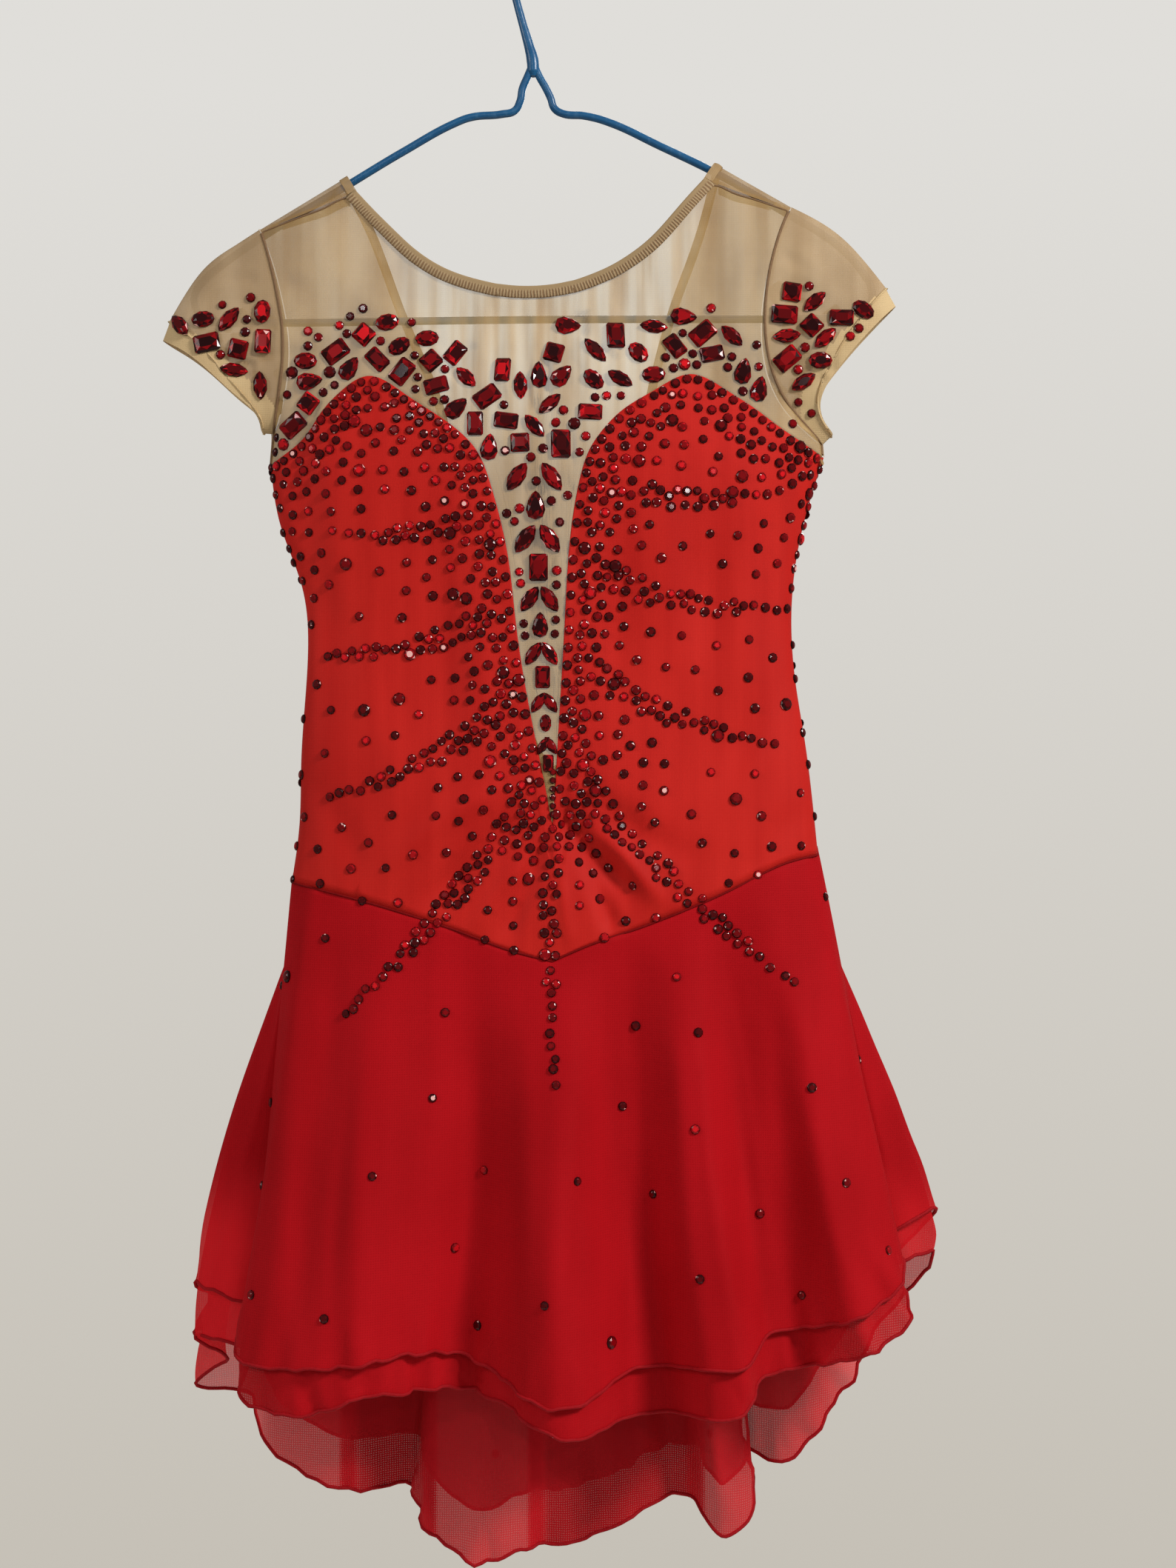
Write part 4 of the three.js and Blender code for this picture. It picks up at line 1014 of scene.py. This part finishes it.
NECK_EDGES = [  # node, and its free edge from, to and past, in millimetres, and its side
    ("front_neck_edge", (-104.8, -159.5), (85.5, -152.5), (-6, -211.8), FRONT),
    ("back_neck_edge_left", (-50, -322), (-105, -160), (-79, -223), BACK),
    ("back_neck_edge_right", (46, -318), (86, -153), (66, -223), BACK),
]
EDGE_WALL = 1.8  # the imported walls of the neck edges
ELASTIC, TURNING = 1.5, 1.5  # wall of the overlocked edge, and what the turned edges cover


def arc_lengths(line):
    """How far each of a line's points is from its start, along the line."""
    return np.concatenate([[0], np.cumsum(np.linalg.norm(np.diff(line, axis=0), axis=1))])


def swell_edge(band, line, run, overlocked):
    """Rounds an edge's band out; the overlocked one also grows wider, and longer at its ends."""
    found, gaps = nearest_on(line, points_of(band))
    off = gaps / MM
    swell = 0.5 * np.sin(np.clip(off / 5, 0, 1) * math.pi)
    if overlocked:
        swell += 0.35 * eased(off, 1.5, 4)
    moved = normals_of(band) * (swell * MM)[:, None]
    if overlocked:
        moved += (points_of(band) - line[found]) * 0.38
        for tip, inner, near in ((0, 3, run[found]), (-1, -4, run[-1] - run[found])):
            ahead = (line[tip] - line[inner]) / np.linalg.norm(line[tip] - line[inner])
            moved += ahead * (1.5 * (1 - eased(near / MM, 0, 6)) * MM)[:, None]
    set_points(band, points_of(band) + moved)
    lay_map(band, np.stack([run[found], gaps], 1))


ribs = Finish("overlocked_edge")
cut = ribs.place("UV")
turns = ribs.bands(cut, "X", 190.0, distortion=1.8, detail=2.0, grain=3.0)
worn = ribs.noise(cut, 60.0)
stitched = ribs.eased(ribs.part_of(cut, 1), 0.0014, 0.0024)
edging = ribs.mix(ribs.eased(turns, 0.1, 0.9), linear(134, 104, 74), linear(184, 160, 124))
edging = ribs.mix(worn * 0.4, edging, linear(158, 128, 96))
ribs.set(Base_Color=ribs.mix(stitched, linear(168, 142, 106), edging), Roughness=0.85,
         Specular_IOR_Level=0.15)
ribs.bump(turns * stitched, 0.0003)
turned_edge = mesh_finish("turned_mesh_edge", linear(182, 152, 110), linear(160, 130, 90),
                          cover=0.88)

for node, start, end, past, outward in NECK_EDGES:
    band = smooth_sheet(one_side(node, [EDGE_WALL], outward))
    if outward is FRONT:
        press(band, YOKE_CREASES, 1)
    line = edge_line(band, start, end, past)
    swell_edge(band, line, arc_lengths(line), outward is FRONT)
    finish = ribs if outward is FRONT else turned_edge
    piece = add_piece(node.replace("edge", "binding"), band, finish, "neck_edging", node)
    if outward is FRONT:
        wall = piece.modifiers.new("wall", "SOLIDIFY")
        wall.thickness = ELASTIC * MM
    else:
        yoke_side = back_yokes[node.split("_")[-1]].data
        away = 5.4 * np.sign(start[0])
        beside = [(x + away, z - 1.5) for x, z in (start, end, past)]
        way = edge_between(yoke_side, *beside)
        tuck_under(yoke_side, way, TURNING, tree_of(band), depth=0.4)

# ---------------------------------------------------------------- sleeves
# Cap sleeves of the same mesh, each one tube from the armhole seam to a turned hem 11 mm wide,
# where the doubled cloth looks paler and less clear. Large stones cover the lower, outer half.

HEM_WIDTH, ARMHOLE_ALLOWANCE = 11.0, 2.5
SLEEVES = [  # side, where the cuff folds over the wire in millimetres, flat size and area
    ("left", (-213, -239.5), (0.235, 0.066), 0.0118),
    ("right", (192.3, -220.5), (0.255, 0.070), 0.0138),
]
SLEEVE_CREASES = [
    (-160, -205, -176, -210, 4, 1.0), (-156, -222, -174, -224, 4, 0.9),
    (-152, -238, -168, -236, 3.5, 0.9), (-150, -252, -166, -248, 3.5, 0.8),
    (-164, -190, -196, -226, 8, 1.4), (-172, -196, -205, -238, 5, -0.9),
    (-158, -262, -184, -250, 6, 1.2), (126, -196, 144, -200, 4, 1.0),
    (122, -214, 140, -218, 4, 0.9), (122, -232, 138, -234, 3.5, 0.9),
    (128, -252, 144, -248, 3.5, 0.8), (140, -184, 170, -212, 8, 1.4),
    (134, -200, 160, -240, 6, 1.1), (140, -266, 160, -250, 6, 1.0),
]


def on_sleeve(spots, cuff, seam, cuff_inset, seam_inset, top):
    """Whether spots lie in from the cuff and the seam, below a sloping top and off the fold."""
    low = spots[:, 2] < np.interp(np.abs(spots[:, 0]), (120, 200), (-200, -226)) - top
    return (cuff > cuff_inset) & (seam > seam_inset) & low & (np.abs(spots[:, 1]) > 3)


def large_sleeve_room(spots, cuff, seam):
    inside = on_sleeve(spots, cuff, seam, cuff_inset=8.5, seam_inset=6.8, top=6.6)
    return np.where(inside, 1.0, 0)


def small_sleeve_room(spots, cuff, seam):
    inside = on_sleeve(spots, cuff, seam, cuff_inset=5, seam_inset=4.5, top=2.4)
    return np.where(inside, 3.3, 0)


def rim_neighbours(vertex):
    return [v for e in vertex.link_edges if e.is_boundary for v in e.verts]


sleeve_nude = mesh_finish("nude_mesh_sleeve", linear(204, 174, 134), linear(180, 150, 112),
                          cover=0.76)
hem_nude = mesh_finish("nude_mesh_hem", linear(226, 198, 150), linear(212, 182, 136), cover=0.88)
for (side, fold, flat, area), armhole in zip(SLEEVES, armholes):
    walls = (THICK_WALL, 2 * THICK_WALL)
    cap = smooth_sheet(one_side(f"sleeve_{side}", walls, least_turn=0.54))
    press(cap, SLEEVE_CREASES, 1, seed=4)
    tuck_under(yoke, armhole, ARMHOLE_ALLOWANCE, tree_of(cap), depth=0.8)
    work = opened(cap)
    rim = {v for v in work.verts if v.is_boundary}
    fold_end = Vector((fold[0], 0, fold[1])) * MM
    cuff = spread(min(rim, key=lambda v: (v.co - fold_end).length), rim_neighbours)
    edges = [[v.co.copy() for v in cuff], [v.co.copy() for v in rim - cuff]]

    taken = []
    spots = scatter(cap, large_sleeve_room, edges, [], tries=30000, seed=22, size=1.0)
    sleeve_stones = large_stones([k for k in spots if abs(k[1][1]) > 0.85], taken, gap=0.2)
    kept = scatter(cap, small_sleeve_room, edges, taken, tries=6000, seed=23)
    sleeve_stones += rounds_at([k for k in kept if picks.random() < 0.6], seed=24)

    gaps = nearest_on(edges[0], [f.calc_center_median() for f in work.faces])[1]
    hem_faces = [f for f, gap in zip(work.faces, gaps) if gap < HEM_WIDTH * MM]
    copies = bmesh.ops.duplicate(work, geom=hem_faces)["geom"]
    doubled = set(hem_faces) | {f for f in copies if isinstance(f, bmesh.types.BMFace)}
    hem_marks = [int(f in doubled) for f in work.faces]
    for v in copies:
        if isinstance(v, bmesh.types.BMVert):
            v.co -= v.normal * 0.9 * MM
    lay_front_map(written(work, cap))
    piece = add_piece(f"cap_sleeve_{side}", cap, sleeve_nude, "nude_mesh", f"sleeve_{side}")
    cap.materials.append(hem_nude.material)
    cap.polygons.foreach_set("material_index", hem_marks)
    stones = set_stones(f"stones_on_sleeve_{side}", sleeve_stones, seed=25)
    lay_flat_under(cap, sleeve_stones)

# ---------------------------------------------------------------- skirts
# Two layers of sheer red stretch mesh on a pointed waist seam, short in front and long behind.
# Each falls in its own flutes, and its rolled hem stretches into small waves. The sprays of
# stones run out on to the top layer, with single stones spread over the rest.

THIN_WALL = 1.0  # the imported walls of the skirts
HEM_ROLL = 1.0  # radius of the rolled hem
WAVE_REACH, SCALLOPS = 42, (17, 10)  # how far up the waves reach, and the small ones' lengths
SKIRT_CREASES = [
    (-118, -560, -130, -790, 10, 2.6), (-92, -568, -102, -790, 9, -2.4),
    (-64, -580, -74, -800, 12, 3.0), (-38, -600, -46, -800, 15, 4.6),
    (-12, -610, -14, -805, 9, -2.6), (8, -590, 8, -805, 11, -3.2), (26, -600, 32, -805, 8, 2.2),
    (42, -590, 52, -800, 13, 4.2), (64, -580, 78, -790, 9, -2.6), (80, -560, 98, -785, 9, -2.4),
    (98, -600, 114, -785, 9, 2.8), (120, -570, 142, -770, 9, 2.4), (134, -600, 160, -760, 8, -2.0),
    (-136, -600, -150, -780, 8, -1.8), (-104, -640, -116, -780, 5, 1.0),
    (18, -660, 20, -800, 5, 1.0), (88, -650, 106, -780, 5, 0.9),
]
BACK_SKIRT_CREASES = [
    (-110, -560, -136, -850, 10, 2.6), (-80, -570, -96, -870, 9, -2.2),
    (-52, -580, -66, -880, 12, 3.2), (-22, -600, -30, -885, 11, -2.6), (4, -610, 8, -885, 12, 3.4),
    (34, -590, 44, -875, 10, -2.6), (62, -580, 78, -865, 10, 3.0), (92, -570, 112, -845, 10, -2.2),
    (120, -560, 150, -810, 10, 2.4), (-132, -600, -168, -800, 9, -1.8),
    (138, -600, 182, -780, 9, -1.8), (-112, -800, -109, -880, 4, 3.6),
    (-68, -805, -67, -905, 5, 5.0), (-48, -830, -50, -905, 7, -2.6), (-12, -820, -8, -905, 5, 3.4),
    (26, -825, 30, -900, 6, -2.4), (54, -820, 58, -895, 6, 2.6), (80, -800, 84, -900, 4, 4.6),
    (98, -810, 100, -895, 7, -2.6), (114, -800, 116, -880, 4, 4.2),
]
SKIRTS = [  # node, outward side, hem's ends and middle, its waves, flat size and area
    ("skirt_under_back", BACK, (-162, -795), (187, -752), (14, -904),
     31, 2.0, (0.48, 0.39), 0.149),
    ("skirt_outer_back", BACK, (-162.5, -772), (186, -733.5), (14, -876),
     34, 1.8, (0.47, 0.36), 0.132),
    ("skirt_under_front", FRONT, (-162, -792), (188, -751), (4, -825),
     28, 1.6, (0.43, 0.31), 0.103),
    ("skirt_outer_front", FRONT, (-162.5, -772), (186, -733.5), (1, -811),
     33, 1.3, (0.42, 0.29), 0.095),
]
# where the long hem lies a fold further back, painted darker as its shade, and how softly that
# ends, in metres of x
FOLDED_BACK, FOLD_EDGE = [(-0.109, -0.068), (-0.004, 0.081)], 0.005


def fold_mask(sheer, across, start, end):
    """1 between start and end across the cloth, and 0 outside, with soft edges inside them."""
    rise = sheer.eased(across, start, start + FOLD_EDGE)
    return rise * sheer.eased(across, end - FOLD_EDGE, end, 1.0, 0.0)


def sheer_finish(name, long_back):
    """Sheer stretch mesh; near the hem of the long back it is one layer, lit from both sides,
    which is painted in as brighter colour and glowing, with painted shade where it lies a fold
    further back.
    """
    sheer = Finish(name)
    cut = sheer.place("UV")
    clouds = sheer.noise(cut, 11.0, 3.0)
    streaks = sheer.noise(sheer.stretched(cut, 45, 3, 1), 1.0, 3.0)
    threads = crossed_threads(sheer, cut, wales=250.0, rows=250.0, distortion=1.6)
    tone = sheer.eased(clouds * 0.6 + streaks * 0.4, 0.32, 0.68)
    red = sheer.mix(tone, linear(176, 10, 20), linear(192, 15, 26))
    clear = 0.0
    if long_back:
        across, down = sheer.part_of(cut, 0), 0 - sheer.part_of(cut, 1)
        # Towards the long hem the single layer is painted brighter and a little clearer, for light
        # that comes through it from behind; the side corners above it are painted clearer and lit
        # too.
        low = sheer.eased(down, 0.74, 0.87)
        painted_light_corner = sheer.eased(across * across, 0.023, 0.032) * sheer.eased(down, 0.685, 0.74)
        # Painted shade where the hem lies a fold further back, and bands at that fold's edges for
        # the doubled cloth, darker and less clear, their darkness partly painted shade.
        set_back_shade = doubled = 0.0
        for start, end in FOLDED_BACK:
            set_back_shade = set_back_shade + fold_mask(sheer, across, start, end)
            doubled = doubled + fold_mask(sheer, across, start - 0.009, start + 0.004)
            doubled = doubled + fold_mask(sheer, across, end - 0.005, end + 0.008)
        single = low * (1 - set_back_shade)
        red = sheer.mix(low, red, linear(206, 26, 36))
        red = sheer.mix(low * set_back_shade * 0.4, red, linear(150, 8, 16))
        red = sheer.mix(low * doubled * 0.6, red, linear(190, 14, 26))
        clear = painted_light_corner * 0.13 + single * 0.03 - low * set_back_shade * 0.04 - low * doubled * 0.12
        # The lit corners and the single layer also get a painted glowing, though nothing there is
        # a lamp.
        painted_glow = sheer.mix(painted_light_corner + single * 0.1, (0, 0, 0, 1), linear(150, 22, 26))
        sheer.set(Emission_Color=painted_glow, Emission_Strength=0.5)
    sheer.set(Base_Color=red, Roughness=0.7, Specular_IOR_Level=0.08, Sheen_Weight=0.04,
              Sheen_Tint=(1.0, 0.25, 0.25, 1.0),
              Alpha=0.84 + threads * 0.13 + streaks * 0.03 - clear)
    sheer.bump(threads, 0.00012, strength=0.4)
    return sheer


def ruffle(mesh, way, length, amount, seed):
    """Stretches a hem into uneven small waves that die out up the cloth."""
    chance = random.Random(seed)
    points = points_of(mesh)
    line = points[way]
    found, gaps = nearest_on(line, points)
    run, off = arc_lengths(line)[found] / MM, gaps / MM
    drift = 1.2 * np.sin(run / (2.7 * length) + chance.uniform(0, 6))
    turn = 2 * math.pi * run
    wave = np.sin(turn / length + chance.uniform(0, 6) + drift)
    wave += 0.5 * np.sin(turn / (0.57 * length) + chance.uniform(0, 6) - drift)
    swell = 0.65 + 0.45 * np.sin(run / (1.9 * length) + chance.uniform(0, 6))
    fade = (1 - eased(off, 0, WAVE_REACH)) ** 1.5
    moved = normals_of(mesh) * (amount * wave * swell * fade)[:, None]
    scallop = 0.8 * np.sin(turn / SCALLOPS[0] + 2 * drift)
    scallop += 0.25 * np.sin(turn / SCALLOPS[1] - 3 * drift)
    moved[:, 2] += scallop * swell * (1 - eased(off, 0, 12))
    set_points(mesh, points + moved * MM)


def closed_seam(front_edge, back_edge):
    """The strip of cloth that closes a side seam between two panels' edges."""
    work = bmesh.new()
    edges = []
    for line in (front_edge, back_edge):
        verts = [work.verts.new(point) for point in line]
        edges += [work.edges.new(pair) for pair in zip(verts, verts[1:])]
    bmesh.ops.bridge_loops(work, edges=edges)
    if sum(f.normal.x for f in work.faces) * front_edge[0][0] < 0:
        bmesh.ops.reverse_faces(work, faces=work.faces)
    return written(work, bpy.data.meshes.new("seam"))


def skirt_room(spots, hem, waist):
    """Single stones, wider apart towards the hem and none on it."""
    return np.where((hem > 16) & (waist > 8), 26 + 14 * eased(waist, 20, 110), 0)


sheer_front = sheer_finish("sheer_red_mesh", long_back=False)
sheer_back_painted_light = sheer_finish("sheer_red_long_back_painted_light", long_back=True)
rolled = two_tone("rolled_hem_thread", (142, 8, 18), (182, 16, 28), grain=700.0,
                  Roughness=0.7, Specular_IOR_Level=0.15)

side_edges = {}
for seed, (node, outward, *hem_ends, past, length, amount, flat, area) in enumerate(SKIRTS):
    in_front, on_top = outward is FRONT, "outer" in node
    bodice = "front_bodice" if in_front else "back_bodice"
    panel = smooth_sheet(one_side(node, [THIN_WALL], outward), [WAIST_POINT])
    keep_side(panel, outward, down_to=-0.7)
    press(panel, SKIRT_CREASES if in_front else BACK_SKIRT_CREASES, -outward.y, seed=7)
    hem = edge_between(panel, *hem_ends, past)
    waist = edge_between(panel, *HIPS, WAIST_POINT)
    ruffle(panel, hem, length, amount, seed + 11)
    name = node.replace("skirt_", "").replace("_", "_skirt_")
    roll = thread_line(panel, hem, HEM_ROLL)
    on_it = [add_piece(name + "_rolled_hem", roll, rolled, "sheer_red")]
    side_edges[node] = [edge_line(panel, hip, foot, ((hip[0] + foot[0]) / 2, -630))
                        for hip, foot in zip(HIPS, hem_ends)]
    if in_front:
        pairs = zip(side_edges[node], side_edges[node.replace("front", "back")])
        seams = joined([closed_seam(*pair) for pair in pairs])
        lay_front_map(seams)
        seam_name = name.replace("front", "side_seams")
        on_it.append(add_piece(seam_name, seams, sheer_front, "sheer_red"))
    if on_top:
        lines = [points_of(panel)[hem], points_of(panel)[waist]]
        taken = list(front_taken) if in_front else []
        kept = spray_stones(tree_of(panel), trees[bodice], taken, seed=3) if in_front else []
        kept += scatter(panel, skirt_room, lines, taken, tries=2500, seed=29)
        on_it.append(set_stones("stones_on_" + name, rounds_at(kept, seed=30), seed=31))
    tuck_under(panel, waist, ALLOWANCE, trees[bodice], depth=1.5 if on_top else 2.3)
    lay_front_map(panel)
    piece = add_piece(name, panel, sheer_front if in_front else sheer_back_painted_light, "sheer_red", node)
